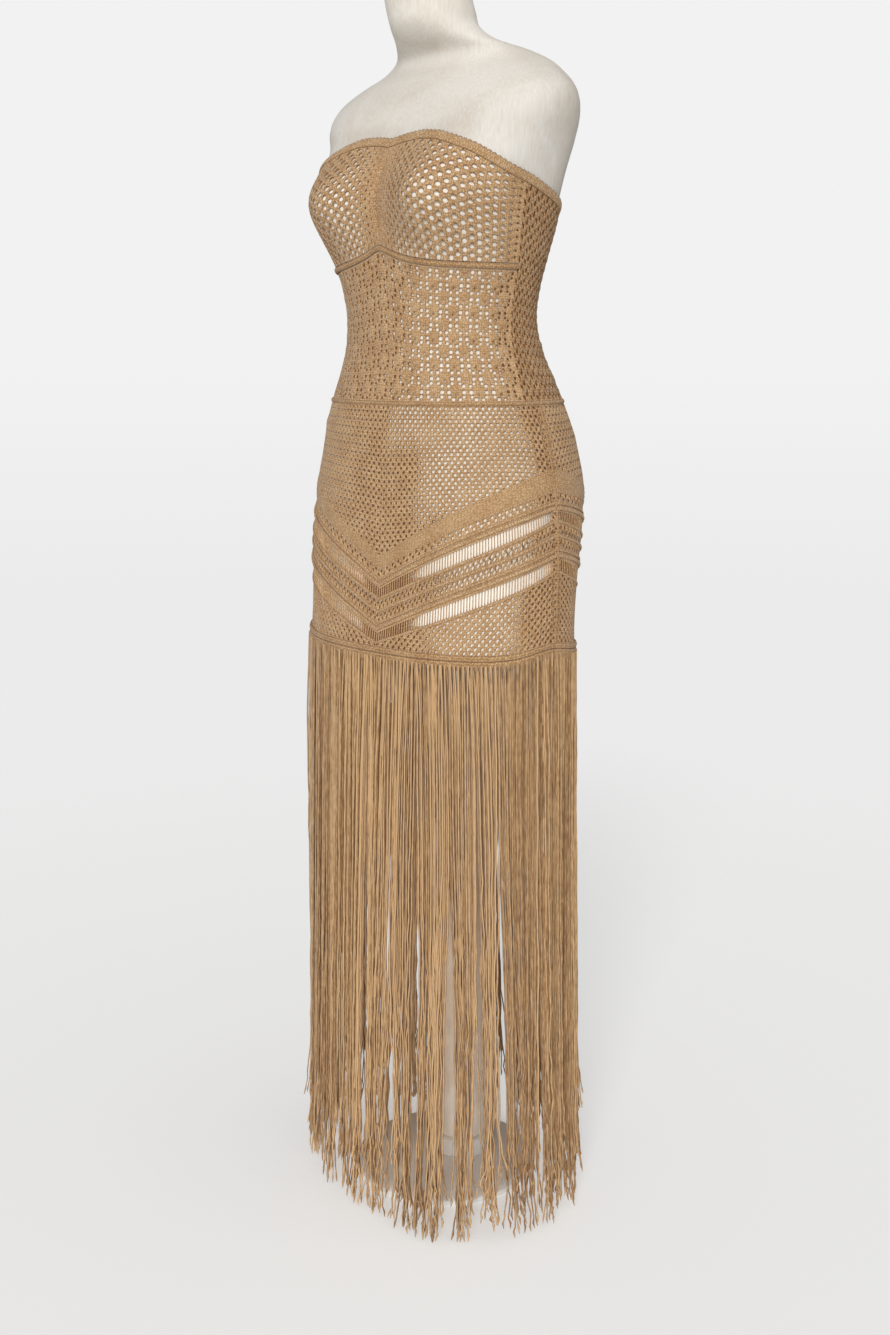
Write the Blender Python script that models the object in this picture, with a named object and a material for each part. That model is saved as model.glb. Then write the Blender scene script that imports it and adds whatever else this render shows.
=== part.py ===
"""A strapless crochet maxi dress with a long fringe, worn by a limbless dress form.

Metres, +Z up. The origin is on the floor under the form, the dress faces -Y and the
wearer's left is +X. Every piece of cloth is a thin wall whose cross-section runs round
the form: its rows are lines on the body, and each row has a lift, its distance from
the form's surface. Places along a panel are turns: 0 is centre front, 1 the side seam
and 2 centre back, negative on the wearer's right.
"""

import math
from functools import lru_cache

import bmesh
import bpy
import numpy as np
from mathutils import Vector

for thing in list(bpy.data.objects):
    bpy.data.objects.remove(thing, do_unlink=True)

# ---------------------------------------------------------------- driving dimensions

SEAM = 0.0003  # the gap between neighbouring pieces
CLOTH_INSIDE = 0.0016  # lift of the cloth's inner face
CUP_INSIDE = 0.0020  # the cups' inner face stands further off the round of the bust
CLOTH_OUTSIDE = 0.0036  # lift of the cloth's outer face, a wall of 2 mm
THREAD_OUTSIDE = 0.0028  # lift of the thread ladders, a wall of 1.2 mm
RIDGE = 0.0052  # lift of a crocheted ridge
CORD = 0.0064  # lift of the rolled cords under the bust and at the waist

BODICE_SEAM = math.radians(80)  # the bodice's side seam, as an angle round the form's axis
SKIRT_SEAM = math.radians(88)
TURN_LENGTH = 0.19  # length of one turn round the body, near enough for gaps
WAIST_HEIGHT = 0.928
HEM_HEIGHT = 0.662
FORM_BOTTOM = 0.600
FORM_TOP = 1.385

# The form's level sections. Front and back depths are from the section's middle, which
# lies middle_y behind the form's axis. A squareness of 2 is an ellipse.
# height, half_breadth, front, back, middle_y, squareness
FORM_SECTIONS = np.array(
    [
        (0.60, 0.1500, 0.1080, 0.0800, 0.000, 2.4),
        (0.63, 0.1575, 0.1150, 0.0860, 0.000, 2.4),
        (0.66, 0.1625, 0.1205, 0.0900, 0.000, 2.4),
        (0.69, 0.1635, 0.1175, 0.0885, 0.000, 2.4),
        (0.72, 0.1645, 0.1145, 0.0895, 0.000, 2.4),
        (0.75, 0.1655, 0.1125, 0.0940, 0.000, 2.4),
        (0.78, 0.1655, 0.1105, 0.1030, 0.000, 2.4),
        (0.81, 0.1635, 0.1085, 0.1150, 0.000, 2.3),
        (0.84, 0.1595, 0.1065, 0.1230, 0.000, 2.3),
        (0.87, 0.1535, 0.1055, 0.1240, 0.000, 2.2),
        (0.90, 0.1455, 0.1040, 0.1165, 0.000, 2.2),
        (0.93, 0.1350, 0.1005, 0.1045, 0.000, 2.2),
        (0.96, 0.1225, 0.0955, 0.0905, 0.000, 2.2),
        (0.99, 0.1130, 0.0925, 0.0755, 0.000, 2.2),
        (1.02, 0.1115, 0.0925, 0.0655, 0.000, 2.2),
        (1.05, 0.1170, 0.0940, 0.0645, 0.000, 2.2),
        (1.08, 0.1260, 0.0950, 0.0685, 0.000, 2.2),
        (1.11, 0.1330, 0.0965, 0.0755, 0.000, 2.3),
        (1.14, 0.1375, 0.0985, 0.0815, 0.000, 2.4),
        (1.17, 0.1420, 0.0905, 0.0880, 0.001, 2.5),
        (1.20, 0.1500, 0.0830, 0.0830, 0.007, 2.6),
        (1.22, 0.1575, 0.0775, 0.0775, 0.008, 2.6),
        (1.235, 0.1595, 0.0705, 0.0705, 0.010, 2.5),
        (1.25, 0.1535, 0.0645, 0.0645, 0.014, 2.3),
        (1.265, 0.1355, 0.0600, 0.0600, 0.022, 2.1),
        (1.28, 0.1100, 0.0545, 0.0545, 0.032, 2.0),
        (1.292, 0.0840, 0.0525, 0.0525, 0.027, 2.0),
        (1.302, 0.0595, 0.0520, 0.0520, 0.0055, 2.0),
        (1.314, 0.0475, 0.0490, 0.0490, -0.013, 2.0),
        (1.33, 0.0460, 0.0480, 0.0480, -0.021, 2.0),
        (1.355, 0.0450, 0.0465, 0.0465, -0.029, 2.0),
        (1.385, 0.0450, 0.0455, 0.0455, -0.037, 2.0),
    ]
)

# The bust is a low mound each side, given by its middle, its widths and its depth.
BUST_MIDDLE = (0.078, 1.135)
BUST_WIDTH = 0.052
BUST_TALLNESS = 0.048
BUST_DEPTH = 0.034

# The dress's top edge: arc is measured round the body from centre front.
# arc, height
TOP_EDGE = np.array(
    [
        (0.000, 1.1970),
        (0.025, 1.2005),
        (0.050, 1.2020),
        (0.075, 1.1990),
        (0.100, 1.1920),
        (0.125, 1.1840),
        (0.168, 1.1660),
        (0.200, 1.1560),
        (0.230, 1.1450),
        (0.260, 1.1360),
        (0.300, 1.1290),
        (0.350, 1.1250),
        (0.405, 1.1240),
    ]
)
EDGING = 0.0095  # height of the rolled edging
BAND_TALL = 0.0075  # height of the cord under the bust
WAIST_CORD_TALL = 0.0045

# Chevron lines rise from the middle of each skirt panel to the side seams, a little bowed
# upward. Each is given by its height in the middle, its rise to the seam and its bow.
CHEVRONS = {
    "dense_top": (0.765, 0.094, 1.35),
    "lattice_top": (0.752, 0.085, 1.4),
    "ladder_top": (0.732, 0.086, 1.35),
    "lace_top": (0.720, 0.088, 1.1),
    "lower_top": (0.684, 0.084, 1.2),
    "yoke_top": (0.6715, 0.090, 1.1),
}
TWIST = 0.05  # the front panel's middle hangs this far to the wearer's left, as a turn

# The fringe: its backing strip, and the locks that hang from it.
STRIP_TALL = 0.006
LOCKS = 100  # in each half
LOCK_WIDTH = 0.0032
LOCK_DEPTH = 0.0028
LOCK_RAISED = 0.0010  # how far the locks stand out from the strip's top edge
LOCK_SWAY = 0.006
LOWEST_TIP = 0.004
TIP_SPREAD = 0.055  # how much shorter the shortest lock is
# share of the way down a lock, share of its full thickness
LOCK_SHAPE = ((0.45, 1.0), (0.96, 0.9), (1.0, 0.0))
# What the fringe swings out by at the floor, at the front, the sides and the back.
FLARE = (0.016, 0.014, 0.050)

COLUMN_RADIUS = 0.030
COLUMN_BACK = 0.030  # the column stands this far behind the form's axis
COLLAR_RADIUS = 0.040
COLLAR_TALL = 0.020
BASE_RADIUS = 0.108
BASE_TALL = 0.010

# ------------------------------------------------------------------------- materials


def finish(name, colour, roughness, metallic=0.0):
    """A Principled material of one colour."""
    made = bpy.data.materials.new(name)
    made.use_nodes = True
    shader = made.node_tree.nodes["Principled BSDF"]
    shader.inputs["Base Color"].default_value = (*colour, 1.0)
    shader.inputs["Roughness"].default_value = roughness
    shader.inputs["Metallic"].default_value = metallic
    return made


CROCHET = finish("tan_crochet_cotton", (0.46, 0.29, 0.155), 0.85)
FRINGE = finish("tan_fringe_yarn", (0.40, 0.24, 0.12), 0.80)
LINEN = finish("cream_linen", (0.76, 0.71, 0.63), 0.90)
PAINT = finish("white_painted_steel", (0.80, 0.80, 0.79), 0.45)


def solid(name, bm, material):
    """Closes a bmesh into one named object with its faces pointing out."""
    bmesh.ops.recalc_face_normals(bm, faces=bm.faces)
    bmesh.ops.triangulate(bm, faces=[f for f in bm.faces if len(f.verts) > 4])
    mesh = bpy.data.meshes.new(name)
    bm.to_mesh(mesh)
    bm.free()
    mesh.materials.append(material)
    made = bpy.data.objects.new(name, mesh)
    bpy.context.scene.collection.objects.link(made)
    return made


# -------------------------------------------------------------------- the body's shape

SECTION_SLOPES = np.gradient(FORM_SECTIONS, FORM_SECTIONS[:, 0], axis=0)


def section_at(height):
    """The form's section at a height, eased through the table's rows."""
    heights = FORM_SECTIONS[:, 0]
    row = int(np.clip(np.searchsorted(heights, height) - 1, 0, len(heights) - 2))
    step = heights[row + 1] - heights[row]
    t = (height - heights[row]) / step
    start, end = FORM_SECTIONS[row], FORM_SECTIONS[row + 1]
    leave, arrive = SECTION_SLOPES[row] * step, SECTION_SLOPES[row + 1] * step
    eased = (
        (2 * t**3 - 3 * t**2 + 1) * start
        + (t**3 - 2 * t**2 + t) * leave
        + (3 * t**2 - 2 * t**3) * end
        + (t**3 - t**2) * arrive
    )
    return eased[1:]


def ring(angles, height):
    """Points of the form's surface at a height; angle 0 is the front."""
    half, front, back, middle, square = section_at(height)
    sine, cosine = np.sin(angles), np.cos(angles)
    depth = np.where(cosine > 0, front, back)
    reach = (np.abs(sine / half) ** square + np.abs(cosine / depth) ** square) ** (-1 / square)
    x, y = reach * sine, middle - reach * cosine
    beside, above = BUST_MIDDLE
    mounds = np.exp(-(((x - beside) / BUST_WIDTH) ** 2)) + np.exp(-(((x + beside) / BUST_WIDTH) ** 2))
    tall = math.exp(-(((height - above) / BUST_TALLNESS) ** 2))
    y = y - BUST_DEPTH * mounds * tall * np.clip(3 * cosine, 0, 1)
    return np.stack([x, y, np.full_like(x, height)], axis=1)


@lru_cache(maxsize=None)
def half_girth(height):
    """Angles from front to back, and the length round the body to each."""
    angles = np.linspace(0, math.pi, 91)
    steps = np.linalg.norm(np.diff(ring(angles, height), axis=0), axis=1)
    return angles, np.concatenate([[0], np.cumsum(steps)])


def on_body(arc, height, lift):
    """The point at an arc from centre front, lifted off the form's surface."""
    angles, lengths = half_girth(round(height, 4))
    angle = math.copysign(np.interp(abs(arc), lengths, angles), arc)
    turn, rise = 0.01, 0.002
    here, left, right = ring(np.array([angle, angle - turn, angle + turn]), height)
    above, below = ring(np.array([angle]), height + rise)[0], ring(np.array([angle]), height - rise)[0]
    normal = Vector(right - left).cross(Vector(above - below)).normalized()
    return Vector(here) + normal * lift


def arc_at(turn, height, seam):
    """The arc at a turn, for a side seam that stands in an upright plane at an angle."""
    if turn > 2:
        return -arc_at(4 - turn, height, seam)
    angles, lengths = half_girth(round(height, 4))
    to_seam = np.interp(seam, angles, lengths)
    if abs(turn) <= 1:
        return turn * to_seam
    return to_seam + (turn - 1) * (lengths[-1] - to_seam)


def bodice_arc(turn, height):
    return arc_at(turn, height, BODICE_SEAM)


def skirt_arc(turn, height):
    return arc_at(turn, height, SKIRT_SEAM)


# ------------------------------------------------------------------- cloth in general


def spread(first, last, count):
    """Turns from one seam to the next, drawn in by half a seam's gap at each end."""
    trim = SEAM / 2 / TURN_LENGTH
    return np.linspace(first + trim, last - trim, count + 1)


def front(count):
    return spread(-1, 1, count)


def back(count):
    return spread(1, 3, count)


def strip(top, bottom, outside, inside):
    """A cross-section between two lines: rows as (share of the way down, lift)."""

    def section(turn, column):
        high, low = top(turn) - SEAM / 2, bottom(turn) + SEAM / 2
        rows = outside(column) if callable(outside) else outside
        return [(high + (low - high) * share, lift) for share, lift in [*rows, *inside]]

    return section


def cloth(name, turns, section, arc, material=CROCHET):
    """A wall whose cross-section, a loop of heights and lifts, runs through the turns."""
    bm = bmesh.new()
    loops = []
    for column, turn in enumerate(turns):
        rows = section(turn, column)
        places = [on_body(arc(turn, height), height, lift) for height, lift in rows]
        loops.append([bm.verts.new(place) for place in places])
    for near, far in zip(loops, loops[1:]):
        for k in range(len(near)):
            after = (k + 1) % len(near)
            bm.faces.new((near[k], near[after], far[after], far[k]))
    bm.faces.new(loops[0])
    bm.faces.new(loops[-1])
    return solid(name, bm, material)


def plain(rows, lift=CLOTH_OUTSIDE):
    """Evenly spaced outer rows at one lift."""
    return [(share, lift) for share in np.linspace(0, 1, rows)]


def lining(rows, lift=CLOTH_INSIDE):
    """Evenly spaced inner rows, from the bottom up."""
    return [(share, lift) for share in np.linspace(1, 0, rows)]


# ------------------------------------------------------------------------ the bodice


def top_line(turn):
    """Height of the dress's top edge."""
    arc = abs(bodice_arc(turn, 1.15))
    return float(np.interp(arc, TOP_EDGE[:, 0], TOP_EDGE[:, 1]))


def edging_foot(turn):
    return top_line(turn) - EDGING


def bust_line(turn):
    """The seam under the bust, which rises to a soft peak at centre front."""
    arc = math.hypot(turn * TURN_LENGTH, 0.006)
    return 1.072 + 0.023 * math.exp(-arc / 0.045)


def band_foot(turn):
    return bust_line(turn) - BAND_TALL


def waist_top(turn):
    return WAIST_HEIGHT + WAIST_CORD_TALL / 2


def waist_foot(turn):
    return WAIST_HEIGHT - WAIST_CORD_TALL / 2


ROLLED_EDGE = [(0.0, 0.0026), (0.25, RIDGE), (0.70, RIDGE), (1.0, CLOTH_OUTSIDE)]
CORD_ROWS = [(0.0, CLOTH_OUTSIDE), (0.2, CORD), (0.75, CORD), (1.0, CLOTH_OUTSIDE)]

# The cups are drawn together in gathers beside centre front, and all the front pieces
# of the bodice share their columns. The back is worked in upright ribs.
GATHERS = [0.0, 0.028, 0.056, 0.084, 0.112, 0.140]
GATHER_DEPTH = 0.0012
RIBS = 38
RIB_DEPTH = 0.0010
CUP_COLUMNS = np.clip([*GATHERS, *np.linspace(0.20, 1.0, 9)], 0, spread(0, 1, 1)[1])
FRONT_COLUMNS = [*-CUP_COLUMNS[:0:-1], *CUP_COLUMNS]

edging = strip(top_line, edging_foot, ROLLED_EDGE, lining(2))
cloth("top_edging_front", FRONT_COLUMNS, edging, bodice_arc)
cloth("top_edging_back", back(RIBS), edging, bodice_arc)


def cup_rows(column):
    """Outer rows of a cup, drawn up into small folds near centre front."""
    folded = column < len(GATHERS)
    lift = CLOTH_OUTSIDE + (GATHER_DEPTH if folded and column % 2 else 0)
    drawn_up = [(share, lift) for share in np.linspace(0.12, 0.88, 6)]
    return [(0.0, CLOTH_OUTSIDE), *drawn_up, (1.0, CLOTH_OUTSIDE)]


def cup(name, side):
    turns = side * np.maximum(CUP_COLUMNS, spread(0, 1, 1)[0])
    cloth(name, turns, strip(edging_foot, bust_line, cup_rows, lining(8, CUP_INSIDE)), bodice_arc)


cup("cup_right", -1)
cup("cup_left", 1)

cloth("underbust_band", FRONT_COLUMNS, strip(bust_line, band_foot, CORD_ROWS, lining(2)), bodice_arc)
cloth("midriff_front", FRONT_COLUMNS, strip(band_foot, waist_top, plain(7), lining(6)), bodice_arc)


def rib_rows(column):
    lift = CLOTH_OUTSIDE + (RIB_DEPTH / 2 if column % 2 else -RIB_DEPTH / 2)
    return plain(7, lift)


cloth(
    "bodice_back",
    back(2 * RIBS),
    strip(edging_foot, waist_top, rib_rows, lining(7)),
    bodice_arc,
)

waist_cord = strip(waist_top, waist_foot, CORD_ROWS, lining(2))
cloth("waist_seam_front", front(22), waist_cord, bodice_arc)
cloth("waist_seam_back", back(24), waist_cord, bodice_arc)

# ------------------------------------------------------------------------- the skirt


def twisted(turns):
    """Turns of the front panel, moved so that 0 lands on the point of the chevrons."""
    return turns + TWIST * (1 - np.abs(turns))


def chevron(name):
    """A line that rises from the middle of a panel to its side seams."""
    middle, rise, bow = CHEVRONS[name]

    def line(turn):
        if turn > 1:
            away = abs(2 - turn)
        else:
            away = abs(turn - TWIST) / (1 - math.copysign(TWIST, turn - TWIST))
        return middle + rise * (1 - max(0.0, 1 - away) ** bow)

    return line


def hem_top(turn):
    return HEM_HEIGHT + 0.006


def hem_foot(turn):
    return HEM_HEIGHT - 0.006


def ridges(count, low=CLOTH_OUTSIDE, high=RIDGE):
    """Outer rows of a strip worked as raised ridges with hollows between."""
    shares = np.linspace(0, 1, 2 * count + 1)
    return [(share, high if k % 2 else low) for k, share in enumerate(shares)]


# Each skirt piece: its top line, its bottom line, its outer rows and its inner rows.
SKIRT_PIECES = {
    "hip_mesh": (waist_foot, chevron("dense_top"), plain(7), 8),
    "dense_band": (
        chevron("dense_top"),
        chevron("lattice_top"),
        [(0.0, CLOTH_OUTSIDE), (0.12, RIDGE), (0.88, RIDGE), (1.0, CLOTH_OUTSIDE)],
        2,
    ),
    "lattice_band": (
        chevron("lattice_top"),
        chevron("ladder_top"),
        [(0.0, THREAD_OUTSIDE), (0.66, THREAD_OUTSIDE), (0.76, RIDGE), (1.0, RIDGE)],
        2,
    ),
    "ladder_upper": (chevron("ladder_top"), chevron("lace_top"), plain(2, THREAD_OUTSIDE), 2),
    "lace_rows": (chevron("lace_top"), chevron("lower_top"), ridges(3, THREAD_OUTSIDE), 4),
    "ladder_lower": (chevron("lower_top"), chevron("yoke_top"), plain(2, THREAD_OUTSIDE), 2),
    "hem_yoke": (chevron("yoke_top"), hem_top, plain(3), 4),
    "hem_band": (hem_top, hem_foot, ridges(2), 2),
}
SKIRT_COLUMNS = 18

for piece, (above, below, outer, inner) in SKIRT_PIECES.items():
    section = strip(above, below, outer, lining(inner))
    cloth(f"{piece}_front", twisted(front(SKIRT_COLUMNS)), section, skirt_arc)
    cloth(f"{piece}_back", back(SKIRT_COLUMNS), section, skirt_arc)

# ------------------------------------------------------------------------ the fringe


def wander(lock, salt):
    """An even, repeatable scatter from -1 to 1."""
    return 2 * ((math.sin(lock * 12.9898 + salt * 78.233) * 43758.5453) % 1.0) - 1


def lock_path(turn, lock):
    """Where a lock passes, from its root to its tip, as a middle and a width."""
    root = on_body(skirt_arc(turn, HEM_HEIGHT), HEM_HEIGHT, 0)
    tip = LOWEST_TIP + TIP_SPREAD * abs(wander(lock, 1)) ** 1.5
    top = hem_foot(0) - SEAM / 2 - STRIP_TALL
    outward = Vector((root.x, root.y, 0)).normalized()
    flare = (FLARE[0] if root.y < 0 else FLARE[2]) * outward.y**2 + FLARE[1] * outward.x**2
    path = []
    for share, thick in LOCK_SHAPE:
        sway = LOCK_SWAY * wander(lock, 2 + round(3 * share)) * share
        height = top + (tip - top) * share
        path.append((outward * (flare * share + sway), height, thick))
    return path


def fringe(name, first, last):
    """Locks hanging from a narrow strip: the strip's underside is drawn down as locks."""
    bm = bmesh.new()
    trim = SEAM / 2 / TURN_LENGTH
    pitch = (last - first - 2 * trim) / LOCKS
    top = hem_foot(0) - SEAM / 2
    foot = top - STRIP_TALL
    width = LOCK_WIDTH / TURN_LENGTH
    raised = CLOTH_OUTSIDE + LOCK_RAISED
    strip_top, left, right, inner = [], [], [], []
    for lock in range(LOCKS):
        turn = first + trim + pitch * (lock + 0.5)
        for rail, place, height, lift in (
            (strip_top, turn, top, CLOTH_OUTSIDE),
            (left, turn - width / 2, foot, raised),
            (right, turn + width / 2, foot, raised),
            (inner, turn, foot, raised - LOCK_DEPTH),
        ):
            rail.append(bm.verts.new(on_body(skirt_arc(place, height), height, lift)))
    for k in range(LOCKS):
        bm.faces.new((strip_top[k], left[k], right[k]))
        root = (left[k], right[k], inner[k])
        start = sum((v.co for v in root), Vector()) / 3
        turn = first + trim + pitch * (k + 0.5)
        above = root
        for shift, height, thick in lock_path(turn, k + 100 * round(first)):
            middle = Vector((start.x + shift.x, start.y + shift.y, height))
            if thick == 0:
                tip = bm.verts.new(middle)
                for j in range(3):
                    bm.faces.new((above[j], above[(j + 1) % 3], tip))
                break
            across = [(v.co - start) * thick for v in root]
            below = [bm.verts.new(middle + Vector((a.x, a.y, 0))) for a in across]
            for j in range(3):
                bm.faces.new((above[j], above[(j + 1) % 3], below[(j + 1) % 3], below[j]))
            above = below
    for k in range(LOCKS - 1):
        bm.faces.new((strip_top[k], right[k], left[k + 1], strip_top[k + 1]))
        bm.faces.new((right[k], inner[k], inner[k + 1], left[k + 1]))
        bm.faces.new((strip_top[k], strip_top[k + 1], inner[k + 1], inner[k]))
    bm.faces.new((strip_top[0], inner[0], left[0]))
    bm.faces.new((strip_top[-1], right[-1], inner[-1]))
    solid(name, bm, FRINGE)


fringe("fringe_front", -1, 1)
fringe("fringe_back", 1, 3)

# ------------------------------------------------------------- the form and its stand

FORM_COLUMNS = 32
EDGE_ROUND = 0.010  # rounding of the form's lower edge and of the neck's top
FORM_HEIGHTS = [
    *np.arange(0.63, 1.20, 0.03),
    1.20,
    1.22,
    1.235,
    1.25,
    1.265,
    1.28,
    1.292,
    1.302,
    1.314,
    1.33,
    1.355,
]


def form_ring(height, inset):
    """A ring of the form, drawn in towards its middle."""
    angles = np.linspace(0, 2 * math.pi, FORM_COLUMNS, endpoint=False)
    points = ring(angles, height)
    middle = points.mean(axis=0)
    spokes = points - middle
    lengths = np.linalg.norm(spokes, axis=1, keepdims=True)
    return middle + spokes * (1 - inset / lengths)


def dress_form():
    """The body: rings from its flat lower end to the top of the neck."""
    bm = bmesh.new()
    levels = [(FORM_BOTTOM, EDGE_ROUND), (FORM_BOTTOM + 0.3 * EDGE_ROUND, 0.3 * EDGE_ROUND)]
    levels += [(FORM_BOTTOM + EDGE_ROUND, 0)]
    levels += [(height, 0) for height in FORM_HEIGHTS]
    levels += [(FORM_TOP - EDGE_ROUND, 0), (FORM_TOP - 0.3 * EDGE_ROUND, 0.3 * EDGE_ROUND)]
    levels += [(FORM_TOP, EDGE_ROUND)]
    rings = []
    for height, inset in levels:
        rings.append([bm.verts.new(place) for place in form_ring(height, inset)])
    for low, high in zip(rings, rings[1:]):
        for k in range(FORM_COLUMNS):
            after = (k + 1) % FORM_COLUMNS
            bm.faces.new((low[k], low[after], high[after], high[k]))
    bm.faces.new(rings[0])
    bm.faces.new(rings[-1])
    solid("dress_form", bm, LINEN)


def turned(name, outline, middle_y, material, sides=32):
    """A closed turned piece: its outline of radii and heights, spun round an upright axis."""
    bm = bmesh.new()
    rings = []
    for radius, height in outline:
        points = []
        for k in range(sides):
            angle = 2 * math.pi * k / sides
            place = (radius * math.cos(angle), middle_y + radius * math.sin(angle), height)
            points.append(bm.verts.new(place))
        rings.append(points)
    for low, high in zip(rings, rings[1:]):
        for k in range(sides):
            after = (k + 1) % sides
            bm.faces.new((low[k], low[after], high[after], high[k]))
    bm.faces.new(rings[0])
    bm.faces.new(rings[-1])
    solid(name, bm, material)


dress_form()
column_foot = BASE_TALL + COLLAR_TALL + 2 * SEAM
turned(
    "stand_column",
    [(COLUMN_RADIUS, column_foot), (COLUMN_RADIUS, FORM_BOTTOM - SEAM)],
    COLUMN_BACK,
    LINEN,
    sides=24,
)
collar_foot = BASE_TALL + SEAM
turned(
    "stand_collar",
    [
        (COLLAR_RADIUS, collar_foot),
        (COLLAR_RADIUS, collar_foot + 0.7 * COLLAR_TALL),
        (COLLAR_RADIUS - 0.004, collar_foot + COLLAR_TALL),
    ],
    COLUMN_BACK,
    PAINT,
    sides=24,
)
turned(
    "stand_base",
    [(BASE_RADIUS, 0.0), (BASE_RADIUS, 0.6 * BASE_TALL), (BASE_RADIUS - 0.006, BASE_TALL)],
    0.0,
    PAINT,
)
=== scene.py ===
"""The looks of a strapless crochet maxi dress worn by a linen-covered dress form.

Metres, +Z up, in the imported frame: the dress faces -Y and the wearer's left is +X. A
place on the body is a turn (0 at centre front, 1 at the left side seam, 2 at centre
back), a height and a lift off the form.
"""

import math

import bmesh
import bpy
import numpy as np
from mathutils import Matrix, Vector


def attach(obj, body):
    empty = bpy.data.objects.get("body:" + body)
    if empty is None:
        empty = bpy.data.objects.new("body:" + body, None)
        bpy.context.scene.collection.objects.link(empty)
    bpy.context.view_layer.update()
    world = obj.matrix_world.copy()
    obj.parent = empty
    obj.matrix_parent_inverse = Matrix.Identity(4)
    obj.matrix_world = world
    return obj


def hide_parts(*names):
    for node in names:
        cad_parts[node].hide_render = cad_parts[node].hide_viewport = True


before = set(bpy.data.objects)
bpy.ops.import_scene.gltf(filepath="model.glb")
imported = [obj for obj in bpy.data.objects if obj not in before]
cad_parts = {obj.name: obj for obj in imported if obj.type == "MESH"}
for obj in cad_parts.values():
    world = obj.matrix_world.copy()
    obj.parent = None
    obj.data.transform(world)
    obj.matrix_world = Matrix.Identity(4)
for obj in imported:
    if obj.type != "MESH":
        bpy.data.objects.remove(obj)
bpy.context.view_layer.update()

# ------------------------------------------------------------------ the dress form
# A padded shell of papier mache with the shoulders' ends cut off flat and a capped
# neck. It is covered in cream linen, cut in panels and pulled smooth over the padding.

# height, half_breadth, front, back, middle_y, squareness
FORM_SECTIONS = np.array(
    [
        (0.60, 0.1500, 0.1080, 0.0800, 0.000, 2.4),
        (0.63, 0.1575, 0.1150, 0.0860, 0.000, 2.4),
        (0.66, 0.1625, 0.1205, 0.0900, 0.000, 2.4),
        (0.69, 0.1635, 0.1175, 0.0885, 0.000, 2.4),
        (0.72, 0.1645, 0.1145, 0.0895, 0.000, 2.4),
        (0.75, 0.1655, 0.1125, 0.0940, 0.000, 2.4),
        (0.78, 0.1655, 0.1105, 0.1030, 0.000, 2.4),
        (0.81, 0.1635, 0.1085, 0.1150, 0.000, 2.3),
        (0.84, 0.1595, 0.1065, 0.1230, 0.000, 2.3),
        (0.87, 0.1535, 0.1055, 0.1240, 0.000, 2.2),
        (0.90, 0.1455, 0.1040, 0.1165, 0.000, 2.2),
        (0.93, 0.1350, 0.1005, 0.1045, 0.000, 2.2),
        (0.96, 0.1225, 0.0955, 0.0905, 0.000, 2.2),
        (0.99, 0.1130, 0.0925, 0.0755, 0.000, 2.2),
        (1.02, 0.1115, 0.0925, 0.0655, 0.000, 2.2),
        (1.05, 0.1170, 0.0940, 0.0645, 0.000, 2.2),
        (1.08, 0.1260, 0.0950, 0.0685, 0.000, 2.2),
        (1.11, 0.1330, 0.0965, 0.0755, 0.000, 2.3),
        (1.14, 0.1375, 0.0985, 0.0815, 0.000, 2.4),
        (1.17, 0.1420, 0.0905, 0.0880, 0.001, 2.5),
        (1.20, 0.1500, 0.0830, 0.0830, 0.007, 2.6),
        (1.22, 0.1575, 0.0775, 0.0775, 0.008, 2.6),
        (1.235, 0.1595, 0.0705, 0.0705, 0.010, 2.5),
        (1.25, 0.1535, 0.0645, 0.0645, 0.014, 2.3),
        (1.265, 0.1355, 0.0600, 0.0600, 0.022, 2.1),
        (1.28, 0.1100, 0.0545, 0.0545, 0.032, 2.0),
        (1.292, 0.0840, 0.0525, 0.0525, 0.027, 2.0),
        (1.302, 0.0595, 0.0520, 0.0520, 0.0055, 2.0),
        (1.314, 0.0475, 0.0490, 0.0490, -0.013, 2.0),
        (1.33, 0.0460, 0.0480, 0.0480, -0.021, 2.0),
        (1.355, 0.0450, 0.0465, 0.0465, -0.029, 2.0),
        (1.385, 0.0450, 0.0455, 0.0455, -0.037, 2.0),
    ]
)
SECTION_SLOPES = np.gradient(FORM_SECTIONS, FORM_SECTIONS[:, 0], axis=0)
BUST_MIDDLE = (0.078, 1.135)
BUST_WIDTH = 0.052
BUST_TALLNESS = 0.048
BUST_DEPTH = 0.034
FORM_BOTTOM = 0.600
FORM_TOP = 1.385
EDGE_ROUND = 0.010
FORM_COLUMNS = 144
FORM_ROWS = 230


def sections(heights):
    """The form's section at each height, eased through the table's rows."""
    known = FORM_SECTIONS[:, 0]
    rows = np.clip(np.searchsorted(known, heights) - 1, 0, len(known) - 2)
    step = known[rows + 1] - known[rows]
    t = ((heights - known[rows]) / step)[:, None]
    step = step[:, None]
    smooth = (
        (2 * t**3 - 3 * t**2 + 1) * FORM_SECTIONS[rows]
        + (t**3 - 2 * t**2 + t) * step * SECTION_SLOPES[rows]
        + (3 * t**2 - 2 * t**3) * FORM_SECTIONS[rows + 1]
        + (t**3 - t**2) * step * SECTION_SLOPES[rows + 1]
    )
    return smooth[:, 1:].T


def body(angles, heights):
    """Points of the form's surface; angle 0 is the front."""
    half, front, back, middle, square = sections(heights)
    sine, cosine = np.sin(angles), np.cos(angles)
    depth = np.where(cosine > 0, front, back)
    reach = (np.abs(sine / half) ** square + np.abs(cosine / depth) ** square) ** (-1 / square)
    x, y = reach * sine, middle - reach * cosine
    beside, above = BUST_MIDDLE
    mounds = sum(np.exp(-(((x - way * beside) / BUST_WIDTH) ** 2)) for way in (1, -1))
    tall = np.exp(-(((heights - above) / BUST_TALLNESS) ** 2))
    y = y - BUST_DEPTH * mounds * tall * np.clip(3 * cosine, 0, 1)
    return np.stack([x, y, heights], axis=1)


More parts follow.
